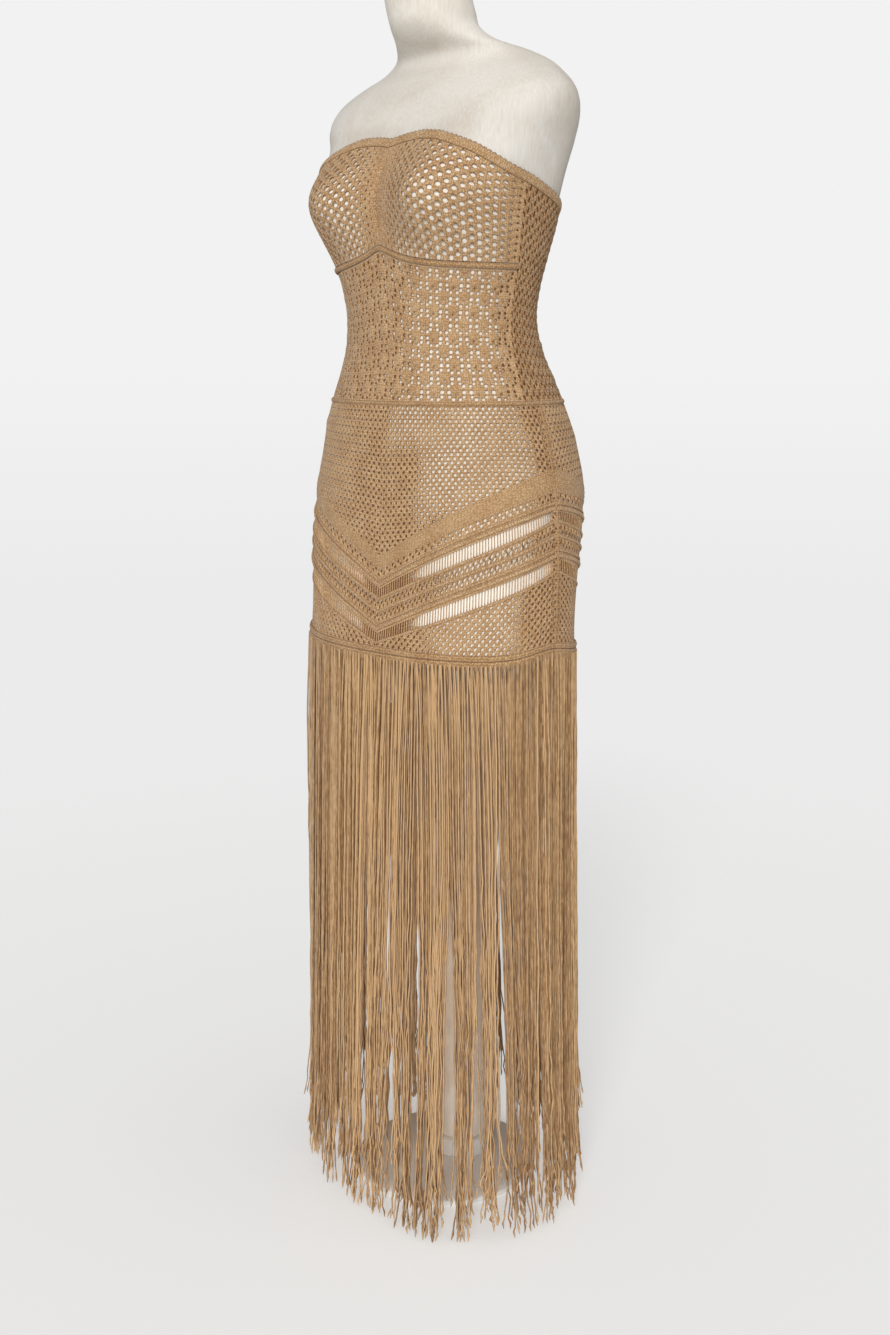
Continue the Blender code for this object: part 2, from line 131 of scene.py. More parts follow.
def hexed(text):
    """An sRGB hex colour as the linear colour that a shader takes."""
    parts = [int(text[k : k + 2], 16) / 255 for k in (1, 3, 5)]
    return (*[p / 12.92 if p <= 0.04045 else ((p + 0.055) / 1.055) ** 2.4 for p in parts], 1.0)


def add(tree, kind, settings=None, links=None):
    """Adds a node. A setting is a property's name, or a socket's name or number.

    The setting "stops" gives a colour ramp its two places, each with a hex colour.
    """
    node = tree.nodes.new(kind)
    for key, value in (settings or {}).items():
        if key == "stops":
            for element, (position, colour) in zip(node.color_ramp.elements, value):
                element.position, element.color = position, hexed(colour)
        elif isinstance(key, str) and hasattr(node, key):
            setattr(node, key, value)
        else:
            node.inputs[key].default_value = value
    for key, source in (links or {}).items():
        tree.links.new(source, node.inputs[key])
    return node


def bare(name, colour, roughness, **sockets):
    """A material with one shader, and the tree and shader to build on."""
    made = bpy.data.materials.new(name)
    made.use_nodes = True
    tree = made.node_tree
    shader = tree.nodes["Principled BSDF"]
    shader.inputs["Base Color"].default_value = hexed(colour)
    shader.inputs["Roughness"].default_value = roughness
    for socket, value in sockets.items():
        shader.inputs[socket.replace("_", " ")].default_value = value
    return made, tree, shader


# Plain-woven linen, about 14 threads to the centimetre. The eye gets a matte, warm
# white with slubs: long faint streaks where a thread is thicker. The weave is drawn
# at 1.6 mm, twice its real size, so that it shows.
LINEN, tree, shader = bare("linen_woven", "#f1ece3", 0.9, Sheen_Weight=0.05)
shader.inputs["Sheen Roughness"].default_value = 0.5
place = add(tree, "ShaderNodeTexCoord").outputs["Object"]
weave_threads = []
for turned_to in ((0, 0, 0), (0, math.pi / 2, 0)):
    lay = add(tree, "ShaderNodeMapping", {"Rotation": turned_to}, {"Vector": place})
    settings = {"Scale": 98.0, "Distortion": 1.2, "Detail": 1.0, "Detail Scale": 3.0}
    wave = add(tree, "ShaderNodeTexWave", settings, {"Vector": lay.outputs[0]})
    weave_threads.append(wave.outputs["Fac"])
weave = add(tree, "ShaderNodeMath", {"operation": "ADD"}, dict(enumerate(weave_threads)))
long_way = add(tree, "ShaderNodeMapping", {"Scale": (1.0, 1.0, 0.08)}, {"Vector": place})
settings = {"Scale": 420.0, "Detail": 2.0}
slubs = add(tree, "ShaderNodeTexNoise", settings, {"Vector": long_way.outputs[0]})
links = {0: weave.outputs[0], 2: slubs.outputs["Fac"]}
height = add(tree, "ShaderNodeMath", {"operation": "MULTIPLY_ADD", 1: 0.5}, links)
settings = {"Strength": 0.12, "Distance": 0.0002}
bump = add(tree, "ShaderNodeBump", settings, {"Height": height.outputs[0]})
tree.links.new(bump.outputs[0], shader.inputs["Normal"])
settings = {"stops": ((0.3, "#f4f2ee"), (0.7, "#ffffff"))}
tones = add(tree, "ShaderNodeValToRGB", settings, {"Fac": slubs.outputs["Fac"]})
# This attribute is painted light: 1 under the dress, where the linen is painted
# brighter and warmer against the net's shade, less on the neck and the stand's sleeve,
# and 0 where the linen keeps its own colour.
painted_light = add(tree, "ShaderNodeAttribute", {"attribute_name": "painted_light"})
settings = {"stops": ((0.0, "#e6e1d9"), (1.0, "#fffaf0"))}
lit_tones = add(tree, "ShaderNodeValToRGB", settings, {"Fac": painted_light.outputs["Fac"]})
settings = {"Scale": 14.0, "Detail": 3.0, "Distortion": 0.6}
stains = add(tree, "ShaderNodeTexNoise", settings, {"Vector": place})
settings = {"stops": ((0.35, "#f1ede8"), (0.6, "#ffffff"))}
handled = add(tree, "ShaderNodeValToRGB", settings, {"Fac": stains.outputs["Fac"]})
settings = {"data_type": "RGBA", "blend_type": "MULTIPLY", 0: 1.0}
first = add(tree, "ShaderNodeMix", settings, {6: tones.outputs[0], 7: lit_tones.outputs[0]})
mixed = add(tree, "ShaderNodeMix", settings, {6: first.outputs[2], 7: handled.outputs[0]})
tree.links.new(mixed.outputs[2], shader.inputs["Base Color"])
# Painted light: under the net the linen glows warmly, as if lit through the thin
# cotton from all sides.
settings = {"stops": ((0.8, "#000000"), (1.0, "#fff1dd"))}
through = add(tree, "ShaderNodeValToRGB", settings, {"Fac": painted_light.outputs["Fac"]})
tree.links.new(through.outputs[0], shader.inputs["Emission Color"])
shader.inputs["Emission Strength"].default_value = 0.10


def numbers(mesh):
    """The mesh's points as an array."""
    found = np.empty(3 * len(mesh.vertices), dtype=np.float32)
    mesh.vertices.foreach_get("co", found)
    return found.reshape(-1, 3).astype(float)


def placed(mesh, points):
    """Moves the mesh's points here."""
    mesh.vertices.foreach_set("co", np.asarray(points, dtype=np.float32).ravel())
    mesh.update()


def shown(name, data):
    """A new object, linked to the scene."""
    made = bpy.data.objects.new(name, data)
    bpy.context.scene.collection.objects.link(made)
    return made


def piece(name, mesh, material, slot, *nodes):
    """A finished piece: smooth, riding on the one body and standing for these nodes."""
    mesh.shade_smooth()
    mesh.materials.clear()
    mesh.materials.append(material)
    made = shown(name, mesh)
    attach(made, "root")
    if nodes:
        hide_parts(*nodes)
    return made


def as_mesh(name, bm):
    """A mesh of this bmesh, which ends here."""
    mesh = bpy.data.meshes.new(name)
    bm.to_mesh(mesh)
    bm.free()
    return mesh


def flat_cloth(columns, rows, width, height):
    """A grid of cloth laid flat, its lower left corner at the origin."""
    bm = bmesh.new()
    bmesh.ops.create_grid(bm, x_segments=columns, y_segments=rows, size=0.5)
    bmesh.ops.translate(bm, verts=bm.verts, vec=(0.5, 0.5, 0))
    bmesh.ops.scale(bm, verts=bm.verts, vec=(width, height, 1))
    return bm


def closed(mesh, dist=2e-6):
    """Joins a rolled-up cloth at its edges, fills its ends and turns its faces out."""
    bm = bmesh.new()
    bm.from_mesh(mesh)
    bmesh.ops.remove_doubles(bm, verts=bm.verts, dist=dist)
    bmesh.ops.holes_fill(bm, edges=bm.edges)
    bmesh.ops.recalc_face_normals(bm, faces=bm.faces)
    bm.to_mesh(mesh)
    bm.free()


form_mesh = as_mesh("dress_form_linen", flat_cloth(FORM_COLUMNS, FORM_ROWS, 1, 1))
flat = numbers(form_mesh)
# The first and last rows turn in over a rounded edge.
rise = flat[:, 1] * (FORM_TOP - FORM_BOTTOM)
inset = np.zeros(len(rise))
for gap in (rise, FORM_TOP - FORM_BOTTOM - rise):
    near = gap < EDGE_ROUND
    inset[near] = EDGE_ROUND - np.sqrt(EDGE_ROUND**2 - (EDGE_ROUND - gap[near]) ** 2)
around = body(2 * math.pi * flat[:, 0], FORM_BOTTOM + rise)
middle = np.stack([np.zeros(len(rise)), sections(FORM_BOTTOM + rise)[3], around[:, 2]], axis=1)
spokes = around - middle
around = middle + spokes * (1 - inset / np.linalg.norm(spokes, axis=1))[:, None]
placed(form_mesh, around)
closed(form_mesh, dist=1e-6)
piece("dress_form_linen", form_mesh, LINEN, "cream_linen", "dress_form")

# ----------------------------------------------------------------------- the stand
# A steel tube in a tight sleeve of the same linen, held by a white collar on a round
# plate. Collar and plate are powder coated, with softly broken edges.

COLUMN_RADIUS = 0.030
COLUMN_BACK = 0.030
COLLAR_RADIUS = 0.040
COLLAR_TALL = 0.020
BASE_RADIUS = 0.108
BASE_TALL = 0.010
# The top edge of collar and plate slopes in, from this share of their height on.
COLLAR_SLOPE, COLLAR_UPRIGHT = 0.004, 0.7
BASE_SLOPE, BASE_UPRIGHT = 0.006, 0.6
GAP = 0.0003  # between one part of the stand and the next
SLEEVE_PAINTED_LIGHT = 0.70  # painted light on the sleeve, which stands in the shade inside the fringe
BROKEN_EDGE = 0.0008
SHARP = 0.6  # radians between the faces at an edge that gets broken
SPIN_STEPS = 96

# Powder coat on steel: a fine orange peel of about 1.5 mm under a satin shine.
PAINT, tree, shader = bare("powder_coat_on_steel", "#e9e9e6", 0.42)
place = add(tree, "ShaderNodeTexCoord").outputs["Object"]
peel = add(tree, "ShaderNodeTexNoise", {"Scale": 650.0, "Detail": 1.0}, {"Vector": place})
settings = {"Strength": 0.08, "Distance": 0.0004}
bump = add(tree, "ShaderNodeBump", settings, {"Height": peel.outputs["Fac"]})
tree.links.new(bump.outputs[0], shader.inputs["Normal"])


def spun(outline):
    """A profile of radii and heights spun round the upright axis."""
    bm = bmesh.new()
    points = [bm.verts.new((radius, 0, height)) for radius, height in outline]
    edges = [bm.edges.new(pair) for pair in zip(points, points[1:])]
    settings = {"axis": (0, 0, 1), "cent": (0, 0, 0), "angle": 2 * math.pi, "steps": SPIN_STEPS}
    bmesh.ops.spin(bm, geom=points + edges, use_merge=True, **settings)
    bmesh.ops.remove_doubles(bm, verts=bm.verts, dist=1e-6)
    bmesh.ops.recalc_face_normals(bm, faces=bm.faces)
    return bm


def turned(name, outline, middle_y, material, slot, node):
    """A spun part of the stand, with its edges broken."""
    bm = spun(outline)
    bmesh.ops.translate(bm, verts=bm.verts, vec=(0, middle_y, 0))
    corners = [e for e in bm.edges if len(e.link_faces) == 2 and e.calc_face_angle() > SHARP]
    bmesh.ops.bevel(
        bm,
        geom=corners,
        offset=BROKEN_EDGE,
        offset_type="OFFSET",
        segments=2,
        profile=0.5,
        affect="EDGES",
        material=-1,
    )
    return piece(name, as_mesh(name, bm), material, slot, node)


def told(mesh, name, values):
    """Writes a number for each point, which the material reads by its name."""
    layer = mesh.attributes.new(name, "FLOAT", "POINT")
    layer.data.foreach_set("value", np.asarray(values, dtype=np.float32))


foot = BASE_TALL + COLLAR_TALL + 2 * GAP
top = FORM_BOTTOM - GAP
sleeve = [(0, foot), (COLUMN_RADIUS, foot), (COLUMN_RADIUS, top), (0, top)]
column = turned("column_sleeve", sleeve, COLUMN_BACK, LINEN, "cream_linen", "stand_column")
# Painted light: the sleeve's linen is painted brighter, as it stands in shade inside the
# fringe.
told(column.data, "painted_light", np.full(len(column.data.vertices), SLEEVE_PAINTED_LIGHT))
foot = BASE_TALL + GAP
collar = [
    (0, foot),
    (COLLAR_RADIUS, foot),
    (COLLAR_RADIUS, foot + COLLAR_UPRIGHT * COLLAR_TALL),
    (COLLAR_RADIUS - COLLAR_SLOPE, foot + COLLAR_TALL),
    (0, foot + COLLAR_TALL),
]
turned("column_collar", collar, COLUMN_BACK, PAINT, "white_paint", "stand_collar")
plate = [
    (0, 0),
    (BASE_RADIUS, 0),
    (BASE_RADIUS, BASE_UPRIGHT * BASE_TALL),
    (BASE_RADIUS - BASE_SLOPE, BASE_TALL),
    (0, BASE_TALL),
]
turned("base_plate", plate, 0, PAINT, "white_paint", "stand_base")

# ------------------------------------------------------------------- the bust net
# Two panels of open net, drawn together in small gathers at centre front. The net is
# crocheted in tan cotton: staggered eyes between strands of double stitches.

SEAM_ANGLES = {"bodice": math.radians(80), "skirt": math.radians(88)}
CLOTH_LIFT = 0.0027  # the outer face of the cloth
TURN_LENGTH = 0.19  # metres of cloth to a turn, on average
# A table of the angle at each height and turn, measured along the form's surface.
TABLE_STEP = 0.005
TABLE_TURNS = 200

heights_known = np.arange(FORM_BOTTOM, FORM_TOP + TABLE_STEP / 50, TABLE_STEP)
angles_known = np.linspace(0, math.pi, 181)
mesh_angles, mesh_heights = np.meshgrid(angles_known, heights_known)
rings = body(mesh_angles.ravel(), mesh_heights.ravel()).reshape(*mesh_angles.shape, 3)
lengths = np.linalg.norm(np.diff(rings, axis=1), axis=2)
girths = np.concatenate([np.zeros((len(heights_known), 1)), np.cumsum(lengths, axis=1)], axis=1)
turns_known = np.linspace(0, 2, TABLE_TURNS + 1)
ANGLES = {}
for seam_name, seam_angle in SEAM_ANGLES.items():
    rows = []
    for girth in girths:
        to_seam = np.interp(seam_angle, angles_known, girth)
        arcs = np.where(
            turns_known <= 1,
            turns_known * to_seam,
            to_seam + (turns_known - 1) * (girth[-1] - to_seam),
        )
        rows.append(np.interp(arcs, girth, angles_known))
    ANGLES[seam_name] = np.array(rows)


def lifted(angles, heights, lifts):
    """Points of the form's surface, moved out along its normals."""
    across = body(angles + 0.01, heights) - body(angles - 0.01, heights)
    upward = body(angles, heights + 0.002) - body(angles, heights - 0.002)
    normals = np.cross(across, upward)
    normals /= np.linalg.norm(normals, axis=1, keepdims=True)
    return body(angles, heights) + normals * np.asarray(lifts).reshape(-1, 1)


def on_body(turns, heights, lifts, seam):
    """Where places on the dress lie; turns past 2 come round from the other side."""
    turns = np.where(turns > 2, turns - 4, turns)
    across = np.clip(np.abs(turns) * TABLE_TURNS / 2, 0, TABLE_TURNS - 0.001)
    up = np.clip((heights - FORM_BOTTOM) / TABLE_STEP, 0, len(heights_known) - 1.001)
    i, j = across.astype(int), up.astype(int)
    u, v = across - i, up - j
    table = ANGLES[seam]
    angles = (
        (1 - v) * ((1 - u) * table[j, i] + u * table[j, i + 1])
        + v * ((1 - u) * table[j + 1, i] + u * table[j + 1, i + 1])
    )
    return lifted(np.copysign(angles, turns), heights, lifts)


def crochet(name, along, down, light="#dcbf9b", crevice_shade="#b38d62", lean=0.0, depth=0.0007):
    """Crocheted cotton: rounded stitches along by down millimetres, with shade painted
    into the hollows between the stitches and in the eyes.
    """
    made, tree, shader = bare(name, light, 0.85, Sheen_Weight=0.15, Sheen_Roughness=0.5)
    shader.inputs["Specular IOR Level"].default_value = 0.2
    cut = add(tree, "ShaderNodeUVMap", {"uv_map": "cut"}).outputs[0]
    settings = {"Scale": (1000 / along, 1000 / down, 1), "Rotation": (0, 0, lean)}
    lay = add(tree, "ShaderNodeMapping", settings, {"Vector": cut})
    settings = {
        "voronoi_dimensions": "2D",
        "feature": "SMOOTH_F1",
        "Scale": 1.0,
        "Randomness": 0.5,
    }
    stitches = add(tree, "ShaderNodeTexVoronoi", settings, {"Vector": lay.outputs[0]})
    settings = {"noise_dimensions": "2D", "Scale": 1000.0, "Detail": 1.0}
    plies = add(tree, "ShaderNodeTexNoise", settings, {"Vector": cut})
    links = {0: stitches.outputs["Distance"], 2: plies.outputs["Fac"]}
    height = add(tree, "ShaderNodeMath", {"operation": "MULTIPLY_ADD", 1: -1.4}, links)
    settings = {"Strength": 0.6, "Distance": depth}
    bump = add(tree, "ShaderNodeBump", settings, {"Height": height.outputs[0]})
    tree.links.new(bump.outputs[0], shader.inputs["Normal"])
    # Painted shade: the cotton is browner where the stitches' height falls, between them.
    settings = {"stops": ((0.0, crevice_shade), (0.30, light))}
    tones = add(tree, "ShaderNodeValToRGB", settings, {"Fac": height.outputs[0]})
    settings = {"noise_dimensions": "2D", "Scale": 45.0, "Detail": 3.0}
    dye = add(tree, "ShaderNodeTexNoise", settings, {"Vector": cut})
    settings = {"stops": ((0.35, "#f2ece6"), (0.65, "#ffffff"))}
    patches = add(tree, "ShaderNodeValToRGB", settings, {"Fac": dye.outputs["Fac"]})
    # Painted shade: this attribute is 1 deep in an eye, or where the cloth folds under, and
    # 0 on its face, and the cotton is painted browner by so much.
    hollow_shade = add(tree, "ShaderNodeAttribute", {"attribute_name": "hollow_shade"})
    settings = {"stops": ((0.0, "#ffffff"), (1.0, "#9d8267"))}
    shade = add(tree, "ShaderNodeValToRGB", settings, {"Fac": hollow_shade.outputs["Fac"]})
    settings = {"data_type": "RGBA", "blend_type": "MULTIPLY", 0: 1.0}
    first = add(tree, "ShaderNodeMix", settings, {6: tones.outputs[0], 7: patches.outputs[0]})
    mixed = add(tree, "ShaderNodeMix", settings, {6: first.outputs[2], 7: shade.outputs[0]})
    tree.links.new(mixed.outputs[2], shader.inputs["Base Color"])
    return made


# Mercerised cotton in double stitches of about 2.2 by 2.6 mm: matte, soft and mottled.
NET_COTTON = crochet("crochet_cotton_net", 2.2, 2.6)

NET_FACE = 0.0004  # how far the net's face stands above its middle
# Each rim: a share of the eye's size, a depth, and how much painted shade it gets.
NET_RIMS = ((1.0, -0.0007, 0.35), (1.15, -0.0013, 1.0))
EYE_SIDES = 8
EYE_MOUTH = 1.25  # an eye's size on the net's face, as a share of its own
SHUT = 0.96  # how far the innermost rim of a shut eye closes


def repeated(name, bm, *runs, join=False):
    """A mesh set out in rows. A run is a count and a step, and touching edges may join."""
    worker = shown(name, as_mesh(name, bm))
    for count, step in runs:
        array = worker.modifiers.new("repeat", "ARRAY")
        array.count = count
        array.use_relative_offset = False
        array.use_constant_offset = True
        array.constant_offset_displace = step
        array.use_merge_vertices = join
        array.merge_threshold = 1e-5
    seen = worker.evaluated_get(bpy.context.evaluated_depsgraph_get())
    mesh = bpy.data.meshes.new_from_object(seen)
    bpy.data.objects.remove(worker, do_unlink=True)
    mesh.name = name
    return mesh


def facing_up(bm):
    """Turns all faces of a flat piece to its outer side."""
    bmesh.ops.recalc_face_normals(bm, faces=bm.faces)
    if sum(f.normal.z for f in bm.faces) < 0:
        bmesh.ops.reverse_faces(bm, faces=bm.faces)


def net(name, repeat, eyes, columns, rows, cuts=(0, 0), rims=NET_RIMS):
    """Flat openwork: one repeat with its eyes, and an array of it.

    An eye is (x, y, half width, half height, lean, squareness) in millimetres. Its edge
    curls under in rims: a share of the eye's size, a depth and how much painted shade it
    gets. The float vector "eye" keeps each rim point's way from the middle of its eye, and
    a number attribute the third of these.
    """
    size = (repeat[0] / 1000, repeat[1] / 1000)
    bm = flat_cloth(1, 1, *size)
    bmesh.ops.delete(bm, geom=bm.faces[:], context="FACES_ONLY")
    for axis in (0, 1):
        lone = []
        for edge in bm.edges:
            way = edge.verts[0].co - edge.verts[1].co
            if abs(way[axis]) > 1e-6 and way.length > 0.9 * size[axis]:
                lone.append(edge)
        if cuts[axis]:
            bmesh.ops.subdivide_edges(bm, edges=lone, cuts=cuts[axis])
    for vert in bm.verts:
        vert.co.z = NET_FACE
    away = bm.verts.layers.float_vector.new("eye")
    hollow_shade = bm.verts.layers.float.new("hollow_shade")
    edges = []
    for x, y, half_wide, half_tall, lean, square in eyes:
        middle = Vector((x / 1000, y / 1000, 0))
        made = bmesh.ops.create_circle(bm, segments=EYE_SIDES, radius=1.0)["verts"]
        for vert in made:
            corner = Matrix.Rotation(math.pi / EYE_SIDES, 2) @ vert.co.xy
            squared = [math.copysign(abs(c) ** square, c) * EYE_MOUTH for c in corner]
            spot = Vector((squared[0] * half_wide, squared[1] * half_tall)) / 1000
            spot.rotate(Matrix.Rotation(lean, 2))
            vert[away] = (spot.x, spot.y, 0)
            vert.co = middle + vert[away]
        edges += [e for e in bm.edges if e.verts[0] in made and e.verts[1] in made]
    settings = {"use_beauty": True, "use_dissolve": False, "normal": (0, 0, 1)}
    bmesh.ops.triangle_fill(bm, edges=bm.edges[:], **settings)
    before = EYE_MOUTH
    # Each rim turns further under and gets its painted shade.
    for share, depth, deep in rims:
        grown = bmesh.ops.extrude_edge_only(bm, edges=edges)["geom"]
        edges = [g for g in grown if isinstance(g, bmesh.types.BMEdge)]
        for vert in {v for e in edges for v in e.verts}:
            middle = vert.co - vert[away]
            vert[away] = vert[away] * (share / before)
            vert.co = Vector((middle.x + vert[away].x, middle.y + vert[away].y, depth))
            vert[hollow_shade] = deep
        before = share
    facing_up(bm)
    return repeated(name, bm, (columns, (size[0], 0, 0)), (rows, (0, size[1], 0)), join=True)


def sized(mesh, rule, *given):
    """Each eye scaled, and drawn shut behind, by a rule of the place of its middle.

    The rule gives the scale across and up, and how far the innermost rim closes. The
    rims of a shut eye also get the full painted shade of its pit.
    """
    flat = numbers(mesh)
    away = np.empty(3 * len(flat), dtype=np.float32)
    mesh.attributes["eye"].data.foreach_get("vector", away)
    hollow_shade = np.empty(len(flat), dtype=np.float32)
    mesh.attributes["hollow_shade"].data.foreach_get("value", hollow_shade)
    away = away.reshape(-1, 3)
    middles = flat - away
    across, upward, shut = rule(middles[:, 0], middles[:, 1], *given)
    left = np.where(hollow_shade > hollow_shade.max() - 0.01, 1 - SHUT * shut, 1.0)
    # Painted shade: a shut eye's rims are painted as brown as its pit.
    hollow_shade = np.where(hollow_shade > 0, hollow_shade + (1 - hollow_shade) * shut, 0)
    mesh.attributes["hollow_shade"].data.foreach_set("value", hollow_shade.astype(np.float32))
    flat[:, 0] = middles[:, 0] + away[:, 0] * across * left
    flat[:, 1] = middles[:, 1] + away[:, 1] * upward * left
    placed(mesh, flat)
    mesh.attributes.remove(mesh.attributes["eye"])


def unlike(x, y, along=8700, up=6100):
    """A number from -1 to 1 that is another one for each eye."""
    return np.sin(along * x + up * y)


def eased(values, low, high):
    """0 below low, 1 above high and a soft step between them."""
    t = np.clip((np.asarray(values) - low) / (high - low), 0, 1)
    return t * t * (3 - 2 * t)


def laid_out(mesh, places):
    """Writes a flat place for each point to the UV map."""
    cut = mesh.uv_layers.new(name="cut")
    corners = np.empty(len(mesh.loops), dtype=np.int32)
    mesh.loops.foreach_get("vertex_index", corners)
    cut.uv.foreach_set("vector", places[corners].astype(np.float32).ravel())


def mapped(mesh):
    """Maps a piece that still lies flat, in metres of the cut."""
    laid_out(mesh, numbers(mesh)[:, :2])


# The creases that show: turn, height, half length, half width, lean, depth. Short soft
# pulls at the waist and beside the hips, uneven, and fewer behind.
CREASES = (
    (-0.62, 0.905, 0.045, 0.0050, 0.35, 0.0012),
    (-0.30, 0.888, 0.030, 0.0042, 0.20, 0.0008),
    (0.12, 0.862, 0.052, 0.0060, -0.55, 0.0013),
    (0.27, 0.835, 0.060, 0.0070, -0.75, 0.0014),
    (0.80, 0.900, 0.035, 0.0045, -0.25, 0.0011),
    (0.93, 0.700, 0.030, 0.0060, 0.60, 0.0015),
    (-0.80, 0.995, 0.040, 0.0046, 0.15, 0.0009),
    (-0.45, 0.962, 0.034, 0.0040, -0.20, 0.0008),
    (0.62, 0.958, 0.038, 0.0044, 0.22, 0.0009),
    (1.25, 0.985, 0.045, 0.0050, 0.10, 0.0013),
    (1.32, 0.955, 0.036, 0.0044, -0.08, 0.0011),
    (2.55, 0.990, 0.052, 0.0052, -0.12, 0.0014),
    (2.45, 0.948, 0.030, 0.0040, 0.10, 0.0009),
    (1.60, 0.870, 0.050, 0.0062, -0.45, 0.0012),
    (2.30, 0.845, 0.042, 0.0056, 0.50, 0.0010),
    (3.20, 0.700, 0.026, 0.0052, -0.50, 0.0010),
)


def folds(turn, height):
    """How far the creases lift the cloth."""
    found = np.zeros(len(turn))
    for middle, level, half_length, half_width, lean, deep in CREASES:
        apart = (turn - middle + 2) % 4 - 2
        x, y = apart * TURN_LENGTH, height - level
        along = x * math.cos(lean) + y * math.sin(lean)
        across = y * math.cos(lean) - x * math.sin(lean)
        found += deep * np.exp(-((along / half_length) ** 2) - (across / half_width) ** 2)
    return found


def between(mesh, size, turns, top, bottom, seam, lift=CLOTH_LIFT, relief=None, way=None):
    """Puts a flat piece on the body, between two lines given by their heights."""
    flat = numbers(mesh)
    share_along, share_up = flat[:, 0] / size[0], flat[:, 1] / size[1]
    turn = turns[0] + (turns[1] - turns[0]) * share_along
    turn = way(turn) if way else turn
    height = bottom(turn) + (top(turn) - bottom(turn)) * share_up
    raised = lift + flat[:, 2] + folds(turn, height) + (relief(turn, share_up) if relief else 0)
    placed(mesh, on_body(turn, height, raised, seam))


# arc, height
TOP_EDGE = np.array(
    [
        (0.000, 1.1970),
        (0.025, 1.2005),
        (0.050, 1.2020),
        (0.075, 1.1990),
        (0.100, 1.1920),
        (0.125, 1.1840),
        (0.168, 1.1660),
        (0.200, 1.1560),
        (0.230, 1.1450),
        (0.260, 1.1360),
        (0.300, 1.1290),
        (0.350, 1.1250),
        (0.405, 1.1240),
    ]
)
EDGING = 0.0095
BAND_TALL = 0.0075
BUST_SEAM = 1.072  # the height of the seam under the bust
BUST_PEAK = 0.023  # and how far it rises at centre front
PEAK_REACH = 0.045
WAIST_HEIGHT = 0.928
WAIST_CORD_TALL = 0.0045
BUST_HEIGHT = 1.15
BUST_LEVEL = round((BUST_HEIGHT - FORM_BOTTOM) / TABLE_STEP)  # its row in the table
TO_SEAM = float(np.interp(SEAM_ANGLES["bodice"], angles_known, girths[BUST_LEVEL]))
ROUND_BACK = float(girths[BUST_LEVEL][-1]) - TO_SEAM


def top_line(turn):
    """The top edge, which sits a little lower over the wearer's right breast."""
    turn = np.where(np.asarray(turn) > 2, np.asarray(turn) - 4, turn)
    sag = 0.006 * np.exp(-(((turn + 0.5) / 0.24) ** 2))
    turn = np.abs(turn)
    arc = np.where(turn <= 1, turn * TO_SEAM, TO_SEAM + (turn - 1) * ROUND_BACK)
    return np.interp(arc, TOP_EDGE[:, 0], TOP_EDGE[:, 1]) - sag


def edging_foot(turn):
    return top_line(turn) - EDGING


# Painted light: the form's linen is painted brighter below the middle of the dress's
# top edging, and on the neck, more towards its top, than on the shoulders.
NECK_PAINTED_LIGHT = 0.75
NECK_FOOT, NECK_TOP = 1.285, 1.33
PAINTED_LIGHT_EDGE = 0.004  # how softly the painted light fades out at the edging
places = numbers(form_mesh)
angle = np.arctan2(places[:, 0], sections(places[:, 2])[3] - places[:, 1])
turn = np.copysign(np.interp(np.abs(angle), ANGLES["bodice"][BUST_LEVEL], turns_known), angle)
covered = np.clip((top_line(turn) - EDGING / 2 - places[:, 2]) / PAINTED_LIGHT_EDGE + 0.5, 0, 1)
neck = NECK_PAINTED_LIGHT * eased(places[:, 2], NECK_FOOT, NECK_TOP)
told(form_mesh, "painted_light", np.maximum(covered, neck))


def bust_line(turn):
    arc = np.hypot(np.asarray(turn) * TURN_LENGTH, 0.006)
    return BUST_SEAM + BUST_PEAK * np.exp(-arc / PEAK_REACH)


def band_foot(turn):
    return bust_line(turn) - BAND_TALL


def waist_top(turn):
    return np.full_like(turn, WAIST_HEIGHT + WAIST_CORD_TALL / 2)


def waist_foot(turn):
    return np.full_like(turn, WAIST_HEIGHT - WAIST_CORD_TALL / 2)


BUST_REPEAT = (15.4, 8.1)
BUST_EYES = [(3.85, 2.0, 2.75, 2.25, 0.0, 1.0), (11.55, 6.05, 2.75, 2.25, 0.0, 1.0)]
BUST_COLUMNS = 13
BUST_ROWS = 12
BUST_SIZE = (BUST_REPEAT[0] * BUST_COLUMNS / 1000, BUST_REPEAT[1] * BUST_ROWS / 1000)
GATHERS = (0.0014, 0.035, 0.11)  # depth, then spacing and reach as shares of the width


def from_middle(x, side):
    """The share of a bust panel's width from centre front."""
    along = x / BUST_SIZE[0]
    return along if side > 0 else 1 - along


def bust_eyes(x, y, side):
    """The eyes narrow into the gathers and are drawn shut at both ends."""
    along, up = from_middle(x, side), y / BUST_SIZE[1]
    gathered = np.clip((along - 0.02) / 0.22, 0.18, 1)
    ends = np.clip((1.03 - along) / 0.14, 0.45, 1)
    shut = 1 - eased(along, 0.05, 0.16) * (1 - eased(along, 0.93, 0.96))
    return gathered * ends * 1.02, np.sqrt(gathered) * ends * (1.22 - 0.5 * up), shut


